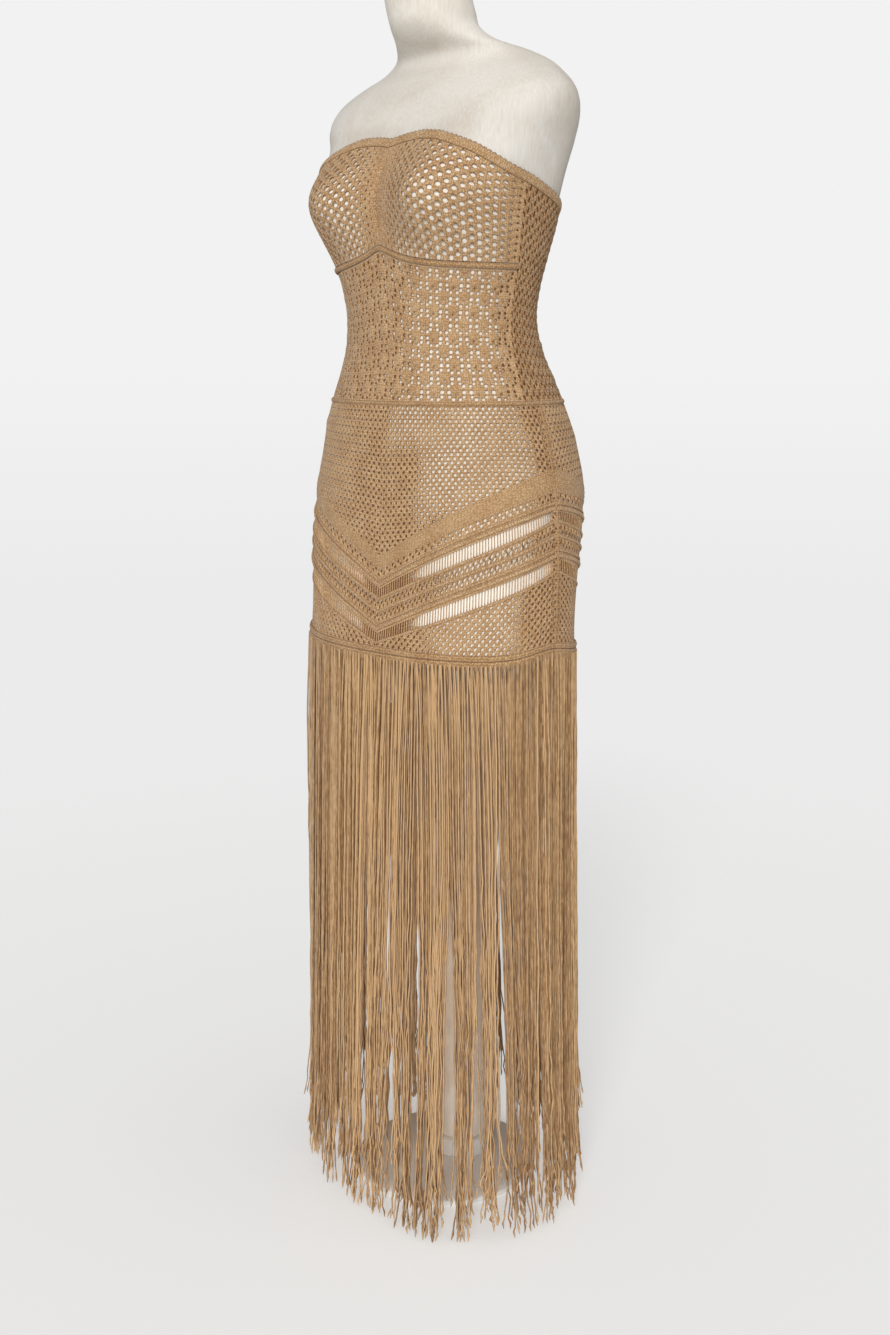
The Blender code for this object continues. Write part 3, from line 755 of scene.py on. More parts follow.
for side, name in ((1, "left"), (-1, "right")):
    mesh = net(f"bust_net_{name}", BUST_REPEAT, BUST_EYES, BUST_COLUMNS, BUST_ROWS, (3, 1))
    sized(mesh, bust_eyes, side)
    mapped(mesh)
    # The net is bunched near centre front, and its folds fade out over the bust.
    flat = numbers(mesh)
    along, up = from_middle(flat[:, 0], side), flat[:, 1] / BUST_SIZE[1]
    turn = side * (0.62 * along + 0.38 * along**1.9)
    height = bust_line(turn) + (edging_foot(turn) - bust_line(turn)) * up
    deep, spacing, reach = GATHERS
    fold = deep * np.cos(along * 2 * math.pi / spacing) * np.exp(-((along / reach) ** 2))
    fold = fold * np.sin(np.clip(up, 0, 1) * math.pi)
    placed(mesh, on_body(turn, height, CLOTH_LIFT + flat[:, 2] + fold, "bodice"))
    cup = piece(f"bust_net_{name}", mesh, NET_COTTON, "crochet_cotton", f"cup_{name}")

# ------------------------------------------------------------------------ the cords
# Rolled cords of close crochet finish the top edge, carry the bust and join bodice to
# skirt. Each is worked round and round, so its stitches slant across it.

# Close slanted stitches of about 1.8 by 3 mm. Cords that are worn against the body, and
# the ribs, are a little darker than the cords that only lie on the cloth.
RIB_COTTON = crochet("crochet_cotton_ribs", 1.7, 3.0, "#d6b891", "#a57e54")
CORD_COTTON = crochet("crochet_cotton_cord", 1.8, 3.4, "#dcc09c", "#b08a60", lean=0.7)

CORD_LIFT = 0.0012
PICOT_SPACING = 6.2  # millimetres


def cord(name, turns, line, tall, deep, seam, steps=420, lump=3.4, picots=0.0):
    """A closed roll along a line: an oval section carried round the body, in stitches.

    The stitches are lump millimetres long, and picots stand up along it by so much.
    """
    bm = flat_cloth(steps, 8, 1, 1)
    cut = bm.loops.layers.uv.new("cut")
    hollow_shade = bm.verts.layers.float.new("hollow_shade")
    length = abs(turns[1] - turns[0]) * TURN_LENGTH
    for face in bm.faces:
        for loop in face.loops:
            loop[cut].uv = (loop.vert.co.x * length, loop.vert.co.y * 3 * tall)
    for vert in bm.verts:
        # Painted shade: the roll is painted browner on its underside, turned in to the cloth.
        folded = math.cos(2 * math.pi * (vert.co.y - 0.25)) * 0.75 + 0.5
        vert[hollow_shade] = min(max(0.0, folded), 1.0)
    mesh = as_mesh(name, bm)
    flat = numbers(mesh)
    turn = turns[0] + (turns[1] - turns[0]) * flat[:, 0]
    along = flat[:, 0] * length * 1000
    round_it = 2 * math.pi * flat[:, 1]
    stitches = 0.07 * np.sin(2 * math.pi * along / lump + round_it)
    height = line(turn) - tall / 2 * (1 + stitches) * np.cos(round_it)
    bumps = np.abs(np.sin(math.pi * along / PICOT_SPACING))
    height = height + picots * bumps * np.clip(-np.cos(round_it), 0, 1) ** 2
    raised = CORD_LIFT + deep / 2 * (1 - (1 + stitches) * np.sin(round_it))
    placed(mesh, on_body(turn, height, raised + folds(turn, height), seam))
    closed(mesh)
    return mesh


ROUND = (-1, 3)
UNDERBUST_TALL = 0.8 * BAND_TALL


def top_cord_line(turn):
    return top_line(turn) - EDGING / 2


def underbust_line(turn):
    return bust_line(turn) - BAND_TALL / 2


def waist_line(turn):
    return np.full_like(turn, WAIST_HEIGHT)


settings = {"steps": 900, "lump": 2.8, "picots": 0.0013}
mesh = cord("top_edging", ROUND, top_cord_line, EDGING, 0.0034, "bodice", **settings)
piece("top_edging", mesh, CORD_COTTON, "crochet_cotton", "top_edging_front", "top_edging_back")
mesh = cord("underbust_cord", (-1, 1), underbust_line, UNDERBUST_TALL, 0.0042, "bodice")
piece("underbust_cord", mesh, RIB_COTTON, "crochet_cotton", "underbust_band")
mesh = cord("waist_cord", ROUND, waist_line, WAIST_CORD_TALL, 0.0036, "bodice", 800)
piece("waist_cord", mesh, RIB_COTTON, "crochet_cotton", "waist_seam_front", "waist_seam_back")

# ---------------------------------------------------------------- the midriff panel
# One panel worked in rows of small fans. Six eyes curve round the foot of each fan,
# and the fans of each row stand between those of the row below.

FAN_REPEAT = (23.6, 28.4)
FAN_EYES = []
for middle, level in ((11.8, 24.6), (0.0, 10.4)):
    for x, drop, size in ((8.1, 0.0, 2.1), (7.6, 4.9, 1.8), (3.6, 7.6, 1.8)):
        for way in (-1, 1):
            across = (middle + way * x) % FAN_REPEAT[0]
            FAN_EYES.append((across, level - drop, size, size, 0.0, 1.0))
    FAN_EYES.append((middle + 0.01, level - 2.6, 0.9, 1.0, 0.0, 1.0))
FAN_COLUMNS = 14
FAN_ROWS = 5
FAN_SIZE = (FAN_REPEAT[0] * FAN_COLUMNS / 1000, 0.145)
FAN_WORKED = (FAN_SIZE[0], FAN_REPEAT[1] * FAN_ROWS / 1000)


def opened_unevenly(opened, uneven):
    """Half-open eyes made some more and some less open than their neighbours."""
    return np.clip(1.15 * opened + opened * (1 - opened) * 2.5 * uneven, 0, 1)


def fan_eyes(x, y):
    """The panel is stretched open over the wearer's left side."""
    turn = 2 * x / FAN_SIZE[0] - 1
    opened = eased(turn, -0.18, 0.46) * (1 - eased(turn, 0.84, 0.97))
    uneven = unlike(x, y, 9100, 5300)
    share = (0.74 + 0.30 * opened) * (1 + 0.10 * uneven)
    return share, share, 1 - opened_unevenly(opened, uneven)


mesh = net("midriff_fans", FAN_REPEAT, FAN_EYES, FAN_COLUMNS, FAN_ROWS, (5, 6))
sized(mesh, fan_eyes)
mapped(mesh)
between(mesh, FAN_WORKED, (-1, 1), band_foot, waist_top, "bodice")
fans = piece("midriff_fans", mesh, NET_COTTON, "crochet_cotton", "midriff_front")

# ------------------------------------------------------------------ the ribbed back
# The back of the bodice is one panel of upright ribs in a zigzag stitch, which pulls
# in at the waist without shaping.

RIB_REPEAT = (9.0, 10.8)
RIB_EYES = [(2.25, 2.7, 1.0, 3.2, 0.26, 1.0), (6.75, 8.1, 1.0, 3.2, -0.26, 1.0)]
RIB_COLUMNS = 45
RIB_ROWS = 20
RIB_SIZE = (RIB_REPEAT[0] * RIB_COLUMNS / 1000, RIB_REPEAT[1] * RIB_ROWS / 1000)
RIB_DEPTH = 0.0014


def rib_eyes(x, y):
    """The eyes between the ribs are narrow, uneven and drawn shut."""
    whole = np.ones_like(x)
    return 1 + 0.15 * unlike(x, y, 7300, 4100), whole, whole


def rib_relief(turn, up):
    """Two ribs to a column of the stitch, each wavering in a zigzag."""
    rib = (turn - 1) / 2 * RIB_COLUMNS * 2
    zigzag = 0.16 * (2 * np.abs((up * RIB_ROWS) % 1 - 0.5) - 0.5)
    return RIB_DEPTH * np.abs(np.sin(math.pi * (rib + zigzag))) - 0.0006


mesh = net("bodice_ribs", RIB_REPEAT, RIB_EYES, RIB_COLUMNS, RIB_ROWS, (3, 2))
sized(mesh, rib_eyes)
mapped(mesh)
between(mesh, RIB_SIZE, (1, 3), edging_foot, waist_top, "bodice", relief=rib_relief)
ribs = piece("bodice_ribs", mesh, RIB_COTTON, "crochet_cotton", "bodice_back")

# -------------------------------------------------------------------- the hip mesh
# A fine, even mesh covers the hips. It is worked straight across and cut off along
# the chevron that the bands below follow.

# height in the middle of a panel, rise to its side seams, bow
CHEVRONS = {
    "dense_top": (0.765, 0.094, 1.35),
    "lattice_top": (0.752, 0.085, 1.4),
    "ladder_top": (0.732, 0.086, 1.35),
    "lace_top": (0.720, 0.088, 1.1),
    "lower_top": (0.684, 0.084, 1.2),
    "yoke_top": (0.6715, 0.083, 0.95),
}
TWIST = 0.05  # the front panel hangs this far to the wearer's left
PANELS = (("front", (-1, 1)), ("back", (1, 3)))  # each with the turns it covers
HIP_REPEAT = (8.0, 9.2)
HIP_EYES = [(2.0, 2.3, 1.75, 1.5, 0.0, 1.0), (6.0, 6.9, 1.75, 1.5, 0.0, 1.0)]
HIP_COLUMNS = 56
HIP_ROWS = 19
HIP_SIZE = (HIP_REPEAT[0] * HIP_COLUMNS / 1000, HIP_REPEAT[1] * HIP_ROWS / 1000)


def twisted(turn):
    """Turns of the skirt, the front panel's middle moved to where it hangs."""
    return np.where(turn <= 1, turn + TWIST * (1 - np.abs(turn)), turn)


def chevron(name):
    """A line that rises from the middle of a panel to its side seams."""
    middle, rise, bow = CHEVRONS[name]

    def line(turn):
        front = np.abs(turn - TWIST) / (1 - np.copysign(TWIST, turn - TWIST))
        away = np.where(turn <= 1, front, np.abs(2 - turn))
        return middle + rise * (1 - np.clip(1 - away, 0, 1) ** bow)

    return line


def openness(turn, start=0.40):
    """How openly the skirt's nets are worked: 0 where their eyes are drawn shut."""
    front = eased(turn, start - 0.20, start + 0.20) * (1 - eased(turn, 0.82, 0.94))
    back = eased(turn, 1.15, 1.4) * (1 - eased(turn, 2.6, 2.85))
    return np.where(turn <= 1, front, back)


def ladder_openness(turn):
    """The same for the ladders, which also show the linen beside the right leg."""
    left = eased(turn, 0.20, 0.34) * (1 - eased(turn, 0.955, 0.99))
    right = 0.75 * eased(turn, -0.62, -0.5) * (1 - eased(turn, -0.09, 0.0))
    back = eased(turn, 1.15, 1.3) * (1 - eased(turn, 2.7, 2.85))
    return np.where(turn <= 1, left + right, back)


def trimmed(mesh, place, away):
    """Cuts a flat panel along a line and drops what lies on the side that away points to."""
    bm = bmesh.new()
    bm.from_mesh(mesh)
    parts = bm.verts[:] + bm.edges[:] + bm.faces[:]
    plane = {"plane_co": (*place, 0), "plane_no": (*away, 0), "dist": 1e-6}
    bmesh.ops.bisect_plane(bm, geom=parts, clear_outer=True, **plane)
    bm.to_mesh(mesh)
    bm.free()


def hip_eyes(x, y, turns):
    """The net is pulled open from centre front at the waist.

    Further down it is open only beside the leg, and it closes up at the side seams.
    """
    turn = twisted(turns[0] + 2 * x / HIP_SIZE[0])
    opened = openness(turn, np.interp(y / HIP_SIZE[1], (0.15, 1.0), (0.42, 0.06)))
    uneven = unlike(x, y)
    close = 0.55 + 0.35 * eased(turn, -0.45, 0.0) if turns[0] < 0 else 0.80
    close = close + 0.2 * eased(np.abs(turn), 0.86, 0.95) * (turn < 1)
    share = (close + (1.18 - close) * opened) * (1 + 0.08 * uneven)
    return share, share, 1 - opened_unevenly(opened, uneven)


for side, turns in PANELS:
    mesh = net(f"hip_mesh_{side}_net", HIP_REPEAT, HIP_EYES, HIP_COLUMNS, HIP_ROWS, (1, 1))
    sized(mesh, hip_eyes, turns)
    middle, rise, _ = CHEVRONS["dense_top"]
    foot = WAIST_HEIGHT - WAIST_CORD_TALL / 2 - HIP_SIZE[1]
    for way in (-1, 1):
        trimmed(mesh, (HIP_SIZE[0] / 2, middle - foot), (way * rise, -HIP_SIZE[0] / 2))
    mapped(mesh)
    # The straight cut edge is pulled to the bowed line of the band below it.
    flat = numbers(mesh)
    along = 2 * flat[:, 0] / HIP_SIZE[0]
    cut_edge = middle + rise * np.abs(along - 1)
    down = (HIP_SIZE[1] - flat[:, 1]) / (foot + HIP_SIZE[1] - cut_edge)
    turn = twisted(turns[0] + along)
    height = waist_foot(turn) - down * (waist_foot(turn) - chevron("dense_top")(turn))
    placed(mesh, on_body(turn, height, CLOTH_LIFT + flat[:, 2] + folds(turn, height), "skirt"))
    hip = piece(f"hip_net_{side}", mesh, NET_COTTON, "crochet_cotton", f"hip_mesh_{side}")
    tall = WAIST_HEIGHT - middle

# --------------------------------------------------------------- the chevron bands
# Six bands follow the chevron round the hem of the body: a plain close-worked one, a
# lattice, a ladder of long threads, lace rows between ridges, a short ladder and the
# open yoke, which fills the points of the chevron down to the level hem.

# Plain close crochet, in rows of 3.6 by 2 mm stitches along the band.
BAND_COTTON = crochet("crochet_cotton_band", 3.6, 2.0, "#d5b68f", "#b18c62", depth=0.0006)
# Straight threads held between two rows, each of 3 twisted plies.
THREAD_COTTON = crochet("crochet_cotton_threads", 1.2, 3.6, "#e0c4a0", "#b9946a", depth=0.0004)

HEM_HEIGHT = 0.662
HEM_TOP = 0.006  # how far the hem's cords reach above its line


def hem_level(turn):
    """The hem hangs level but for a lift beside each side seam."""
    right = 0.006 * np.exp(-(((turn + 0.85) / 0.25) ** 2)) * np.clip(5 * (turn + 1), 0, 1)
    return HEM_HEIGHT + right + 0.008 * np.exp(-(((turn - 0.97) / 0.16) ** 2))


def hem_top(turn):
    return hem_level(turn) + HEM_TOP


BAND_LINES = {
    "dense_band": (chevron("dense_top"), chevron("lattice_top")),
    "lattice_band": (chevron("lattice_top"), chevron("ladder_top")),
    "ladder_upper": (chevron("ladder_top"), chevron("lace_top")),
    "lace_rows": (chevron("lace_top"), chevron("lower_top")),
    "ladder_lower": (chevron("lower_top"), chevron("yoke_top")),
}
BAND_WIDTH = 0.45
DENSE_SIZE = (BAND_WIDTH, 0.018)
DENSE_ROWS = 4
BAND_LIFT = 0.0024
# each band's repeat, then its eyes as net() takes them
LATTICE = ((8.4, 20.0), [(2.1, 16.6, 1.6, 1.6, 0.0, 1.0), (6.3, 12.6, 1.6, 1.6, 0.0, 1.0)])
UPPER_LADDER = ((3.3, 17.0), [(1.65, 8.5, 1.22, 7.4, 0.0, 0.4)])
LACE_EYES = [
    (1.5, 30.4, 1.25, 2.1, -0.4, 1.0),
    (4.5, 26.2, 1.25, 2.1, -0.4, 1.0),
    (1.5, 16.6, 1.25, 2.0, -0.4, 1.0),
    (4.5, 12.6, 1.25, 2.0, -0.4, 1.0),
]
LACE = ((6.0, 36.0), LACE_EYES)
LOWER_LADDER = ((3.3, 18.0), [(1.65, 9.0, 1.22, 7.6, 0.0, 0.4)])
# The ladders' rims get little painted shade.
LADDER_RIMS = ((1.0, -0.0004, 0.1), (1.0, -0.0008, 0.3))
NETS = (
    ("lattice_band", LATTICE, NET_COTTON, NET_RIMS, openness),
    ("ladder_upper", UPPER_LADDER, THREAD_COTTON, LADDER_RIMS, ladder_openness),
    ("lace_rows", LACE, NET_COTTON, NET_RIMS, openness),
    ("ladder_lower", LOWER_LADDER, THREAD_COTTON, LADDER_RIMS, ladder_openness),
)


def dense_relief(turn, up):
    """A swelling band with its worked rows standing up along it."""
    rows_worked = 0.0007 * np.abs(np.sin(math.pi * up * DENSE_ROWS))
    swelling = np.sqrt(np.clip(np.sin(math.pi * np.clip(up, 0, 1)), 0, 1))
    return rows_worked + 0.0008 * swelling


def band_eyes(x, y, turns, width, how_open):
    """The eyes of a band are wider where it is stretched open."""
    opened = how_open(twisted(turns[0] + 2 * x / width))
    uneven = 1 + 0.08 * unlike(x, y)
    return (0.80 + 0.22 * opened) * uneven, np.ones_like(x), 1 - opened


for side, turns in PANELS:
    name = f"dense_band_{side}"
    mesh = as_mesh(f"{name}_close", flat_cloth(320, 8, *DENSE_SIZE))
    mapped(mesh)
    settings = {"relief": dense_relief, "way": twisted}
    between(mesh, DENSE_SIZE, turns, *BAND_LINES["dense_band"], "skirt", **settings)
    band = piece(f"{name}_close", mesh, BAND_COTTON, "crochet_cotton", name)
    for name, (repeat, eyes), cotton, rims, how_open in NETS:
        columns = round(1000 * BAND_WIDTH / repeat[0])
        size = (repeat[0] * columns / 1000, repeat[1] / 1000)
        mesh = net(f"{name}_{side}_open", repeat, eyes, columns, 1, rims=rims)
        sized(mesh, band_eyes, turns, size[0], how_open)
        mapped(mesh)
        settings = {"lift": BAND_LIFT, "way": twisted}
        between(mesh, size, turns, *BAND_LINES[name], "skirt", **settings)
        band = piece(f"{name}_{side}_open", mesh, cotton, "crochet_cotton", f"{name}_{side}")

# Ridges and cords along the bands: a line's band and share, how tall, how deep.
RIDGES = (
    ("dense_top_ridge", "dense_band", 1.0, 0.0024, 0.0024),
    ("dense_foot_ridge", "dense_band", 0.0, 0.0024, 0.0024),
    ("lattice_ridge", "lattice_band", 0.38, 0.0034, 0.0028),
    ("lattice_cord", "lattice_band", 0.11, 0.0050, 0.0038),
    ("lace_top_ridge", "lace_rows", 0.985, 0.0034, 0.0030),
    ("lace_middle_ridge", "lace_rows", 0.59, 0.0038, 0.0032),
    ("lace_lower_ridge", "lace_rows", 0.22, 0.0034, 0.0030),
    ("lace_cord", "lace_rows", 0.07, 0.0050, 0.0040),
    ("yoke_ridge", "ladder_lower", 0.00, 0.0034, 0.0030),
)


def along_band(name, share):
    """A line that runs along a band, at a share of its height from its foot."""
    above, below = BAND_LINES[name]
    return lambda turn: below(turn) + (above(turn) - below(turn)) * share


for name, band, share, tall, deep in RIDGES:
    mesh = cord(name, ROUND, along_band(band, share), tall, deep, "skirt", 640)
    piece(name, mesh, CORD_COTTON, "crochet_cotton")

YOKE_REPEAT = (8.0, 9.2)
YOKE_EYES = [(2.0, 2.3, 1.15, 1.9, -0.6, 1.0), (6.0, 6.9, 1.15, 1.9, -0.6, 1.0)]
YOKE_COLUMNS = 28
YOKE_ROWS = 10
YOKE_WIDTH = 2 * YOKE_REPEAT[0] * YOKE_COLUMNS / 1000


def yoke_eyes(x, y):
    """The yoke is open over the leg and close in the points of the chevron."""
    along = 2 * x / YOKE_WIDTH
    opened = eased(along, 0.2, 0.42) * (1 - eased(along, 0.72, 0.86))
    share = 0.95 + 0.1 * opened + 0.2 * eased(along, 0.8, 0.92)
    share = share * (1 + 0.08 * unlike(x, y))
    return share, share, 1 - opened


for side, turns in PANELS:
    mesh = net(f"hem_yoke_{side}_net", YOKE_REPEAT, YOKE_EYES, YOKE_COLUMNS, YOKE_ROWS, (1, 1))
    sized(mesh, yoke_eyes)
    # A half is cut along the chevron and mirrored, so its eyes lean to both sides.
    middle, rise, _ = CHEVRONS["yoke_top"]
    foot = HEM_HEIGHT + HEM_TOP
    trimmed(mesh, (0, middle - foot), (-rise, YOKE_WIDTH / 2))
    bm = bmesh.new()
    bm.from_mesh(mesh)
    parts = bm.verts[:] + bm.edges[:] + bm.faces[:]
    bmesh.ops.mirror(bm, geom=parts, axis="X", merge_dist=1e-5)
    facing_up(bm)
    bmesh.ops.translate(bm, verts=bm.verts, vec=(YOKE_WIDTH / 2, 0, 0))
    bm.to_mesh(mesh)
    bm.free()
    mapped(mesh)
    flat = numbers(mesh)
    along = 2 * flat[:, 0] / YOKE_WIDTH
    up = flat[:, 1] / (middle - foot + rise * np.abs(along - 1))
    turn = twisted(turns[0] + along)
    height = hem_top(turn) + up * (chevron("yoke_top")(turn) - hem_top(turn))
    placed(mesh, on_body(turn, height, CLOTH_LIFT + flat[:, 2] + folds(turn, height), "skirt"))
    yoke = piece(f"hem_yoke_{side}_net", mesh, NET_COTTON, "crochet_cotton", f"hem_yoke_{side}")
    tall = middle + rise - foot

# The hem: two rolled cords laid edge to edge, into which the fringe is knotted.
HEM_CORDS = (
    ("hem_cord_upper", 0.0032, ("hem_band_front", "hem_band_back")),
    ("hem_cord_lower", -0.0028, ()),
)
HEM_CORD_TALL = 0.0064
HEM_CORD_DEEP = 0.0050


def above_hem(above):
    """A line that runs this far above the hem's own."""
    return lambda turn: hem_level(turn) + above


for name, above, nodes in HEM_CORDS:
    mesh = cord(name, ROUND, above_hem(above), HEM_CORD_TALL, HEM_CORD_DEEP, "skirt", 720)
    piece(name, mesh, RIB_COTTON, "crochet_cotton", *nodes)

# -------------------------------------------------------------------- the side seams
# Skirt front and back meet in a close-worked strip down each side, over the ends of
# the bands, with a raised rib of slip stitches along the seam itself.

SEAM_REPEAT = (6.0, 8.0)
SEAM_EYES = [(1.5, 2.0, 0.95, 1.15, 0.3, 1.0), (4.5, 6.0, 0.95, 1.15, 0.3, 1.0)]
SEAM_COLUMNS = 2
SEAM_ROWS = 32
SEAM_SIZE = (SEAM_REPEAT[0] * SEAM_COLUMNS / 1000, SEAM_REPEAT[1] * SEAM_ROWS / 1000)
SEAM_TURNS = (0.970, 1.024)
SEAM_LIFT = CLOTH_LIFT + 0.0012
RIB_WIDE = 0.0022
RIB_DEEP = 0.0022
RIB_LIFT = 0.0030
RIB_STITCH = 0.0042


def shut_eyes(x, y):
    """Eyes of one size, all drawn shut."""
    whole = np.ones_like(x)
    return whole, whole, whole


def strip_relief(turn, up):
    """The strip's long edges turn down to the cloth."""
    middle, half = sum(SEAM_TURNS) / 2, (SEAM_TURNS[1] - SEAM_TURNS[0]) / 2
    return -0.0009 * np.abs((np.abs(turn) - middle) / half) ** 4


for side, way in (("left", 1), ("right", -1)):
    mesh = net(f"seam_strip_{side}", SEAM_REPEAT, SEAM_EYES, SEAM_COLUMNS, SEAM_ROWS, (1, 1))
    sized(mesh, shut_eyes)
    mapped(mesh)
    turns = sorted(way * turn for turn in SEAM_TURNS)
    settings = {"lift": SEAM_LIFT, "relief": strip_relief}
    between(mesh, SEAM_SIZE, turns, waist_foot, hem_top, "skirt", **settings)
    strip = piece(f"seam_strip_{side}", mesh, RIB_COTTON, "crochet_cotton")

    mesh = as_mesh(f"seam_rib_{side}", flat_cloth(8, 200, *SEAM_SIZE))
    mapped(mesh)
    flat = numbers(mesh)
    round_it = 2 * math.pi * flat[:, 0] / SEAM_SIZE[0]
    stitches = 1 + 0.10 * np.sin(2 * math.pi * flat[:, 1] / RIB_STITCH + round_it)
    turn = way * (1 + RIB_WIDE / 2 / TURN_LENGTH * stitches * np.cos(round_it))
    height = hem_top(turn) + (waist_foot(turn) - hem_top(turn)) * flat[:, 1] / SEAM_SIZE[1]
    raised = RIB_LIFT + RIB_DEEP / 2 * (1 - stitches * np.sin(round_it)) + folds(turn, height)
    placed(mesh, on_body(turn, height, raised, "skirt"))
    closed(mesh)
    piece(f"seam_rib_{side}", mesh, RIB_COTTON, "crochet_cotton")

# ------------------------------------------------------------------------ the fringe
# Long cut lengths of cotton yarn, folded in bunches and knotted into the hem cord with
# lark's head knots. The bunches spread into a curtain down to the floor.

FLARE = (0.010, 0.008, 0.042)  # how far the tips stand out: at front, sides and back
KICK = 0.024  # and further yet beside the wearer's left leg
KICK_ANGLE = math.radians(43)
# Where the curtain parts: turn, half width in turns, and the share of its length above.
PARTINGS = (
    (-0.60, 0.008, 0.45),
    (-0.24, 0.008, 0.20),
    (0.00, 0.007, 0.35),
    (0.18, 0.022, 0.42),
    (0.34, 0.012, 0.55),
    (0.45, 0.020, 0.25),
    (0.57, 0.018, 0.50),
    (0.69, 0.022, 0.22),
    (0.90, 0.012, 0.50),
    (1.30, 0.015, 0.35),
    (1.80, 0.016, 0.45),
    (2.05, 0.032, 0.20),
    (2.40, 0.012, 0.45),
    (2.69, 0.032, 0.30),
)
KNOTS = 96
KNOT_SIZE = (0.0021, 0.0020, 0.0050)  # half its width, depth and height
KNOT_BELOW = 0.0065  # its middle hangs this far below the hem's line
KNOT_LIFT = 0.0042
YARNS = 590
BUNCH = (5, 26)  # the fewest yarns in a bunch, and one more than the most
DRAWN = (0.12, 0.80)  # how far the yarns of a bunch draw together
ALONE = 0.06  # the share of yarns that stay out of their bunch
SHORTER = (-0.004, 0.100)  # how much shorter than the longest a yarn may be
RING_SHARES = np.array([*np.linspace(0, 0.92, 28), 0.945, 0.965, 0.98, 0.99, 1.0])
# A yarn thins towards its end, which is tied off in a small knot.
WIDTH_SHARES = (0.0, 0.8, 0.97, 0.98, 0.99, 1.0)
RING_WIDTHS = np.interp(RING_SHARES, WIDTH_SHARES, (1.0, 0.95, 0.75, 0.7, 1.1, 0.3))
YARN_WIDE = 0.0014
YARN_DEEP = 0.0010
YARN_ROOT = 0.004  # below the hem's line, and out from the form
LAYERS = 0.0026  # how far in front of or behind the rest a yarn is knotted
LOWEST_TIP = 0.0015
SPREAD_BY = 0.08  # the share of its length by which a yarn reaches its own place
DRAWN_FROM, DRAWN_BY = 0.22, 0.95  # where bunches start and end drawing together
FRAYED_FROM = 0.86  # where the ends start to fan out
# The next four say how far, in metres: sideways, then outwards.
LEANING = (0.0030, 0.0035)  # a whole bunch
STRAYING = (0.0013, 0.0020)  # a single yarn
FRAYING = (0.0055, 0.0035)  # its end
KINKED = (0.0002, 0.0007)  # its kinks, all the way and more of them further down
UNEVEN_TIPS = 0.018  # how much the length differs from bunch to bunch
# A yarn's colour, and what its own, its bunch's, its layer's and its place's part is.
# The layer's part is painted shade on yarns knotted further in, the place's part painted
# shade on the sides turned away from the key light.
TONE = 0.44
OWN_TONE, BUNCH_TONE, LAYER_SHADE, SIDE_SHADE = 0.17, 0.09, 0.06, -0.24

# Loose 3-ply cotton yarn, softly twisted, each length with its own colour and faint
# lighter and darker stretches along it, and with painted shade where it hangs further
# in or on a side turned from the light.
YARN, tree, shader = bare("cotton_fringe_yarn", "#b98f5f", 0.9, Sheen_Weight=0.2)
shader.inputs["Sheen Roughness"].default_value = 0.5
shader.inputs["Specular IOR Level"].default_value = 0.2
cut = add(tree, "ShaderNodeUVMap", {"uv_map": "cut"}).outputs[0]
lay = add(tree, "ShaderNodeMapping", {"Scale": (1.0, 260.0, 1.0)}, {"Vector": cut})
settings = {
    "wave_type": "BANDS",
    "bands_direction": "DIAGONAL",
    "Scale": 1.0,
    "Distortion": 1.0,
}
plies = add(tree, "ShaderNodeTexWave", settings, {"Vector": lay.outputs[0]})
settings = {"Strength": 0.5, "Distance": 0.0006}
bump = add(tree, "ShaderNodeBump", settings, {"Height": plies.outputs["Fac"]})
tree.links.new(bump.outputs[0], shader.inputs["Normal"])
lay = add(tree, "ShaderNodeMapping", {"Scale": (1.0, 90.0, 1.0)}, {"Vector": cut})
settings = {"noise_dimensions": "2D", "Scale": 1.0, "Detail": 3.0}
stretches = add(tree, "ShaderNodeTexNoise", settings, {"Vector": lay.outputs[0]})
# The attribute holds each yarn's own shade of tan together with its painted shade.
tone_and_shade = add(tree, "ShaderNodeAttribute", {"attribute_name": "tone_and_shade"})
links = {0: stretches.outputs["Fac"], 2: tone_and_shade.outputs["Fac"]}
mixed = add(tree, "ShaderNodeMath", {"operation": "MULTIPLY_ADD", 1: 0.9}, links)
settings = {"stops": ((0.30, "#8c643b"), (1.0, "#d3ae80"))}
tones = add(tree, "ShaderNodeValToRGB", settings, {"Fac": mixed.outputs[0]})
tree.links.new(tones.outputs[0], shader.inputs["Base Color"])


def straight_yarns(name):
    """Yarns side by side: each a thin three-sided tube hanging from one ring to the next."""
    bm = bmesh.new()
    bmesh.ops.create_circle(bm, segments=3, radius=0.1)
    edges = bm.edges[:]
    for _ in RING_SHARES[1:]:
        grown = bmesh.ops.extrude_edge_only(bm, edges=edges)["geom"]
        edges = [g for g in grown if isinstance(g, bmesh.types.BMEdge)]
        verts = [g for g in grown if isinstance(g, bmesh.types.BMVert)]
        bmesh.ops.translate(bm, verts=verts, vec=(0, 0, -1))
    bmesh.ops.recalc_face_normals(bm, faces=bm.faces)
    return repeated(name, bm, (YARNS, (1, 0, 0)))


def parted(apart_from, share):
    """How far the partings push the yarns aside, by the share of their length."""
    pushed = np.zeros(len(share))
    for middle, half, start in PARTINGS:
        apart = (apart_from - middle + 2) % 4 - 2
        push = np.sign(apart) * half * np.exp(-((apart / (3 * half)) ** 2))
        pushed += push * eased(share, start, start + 0.45)
    return pushed


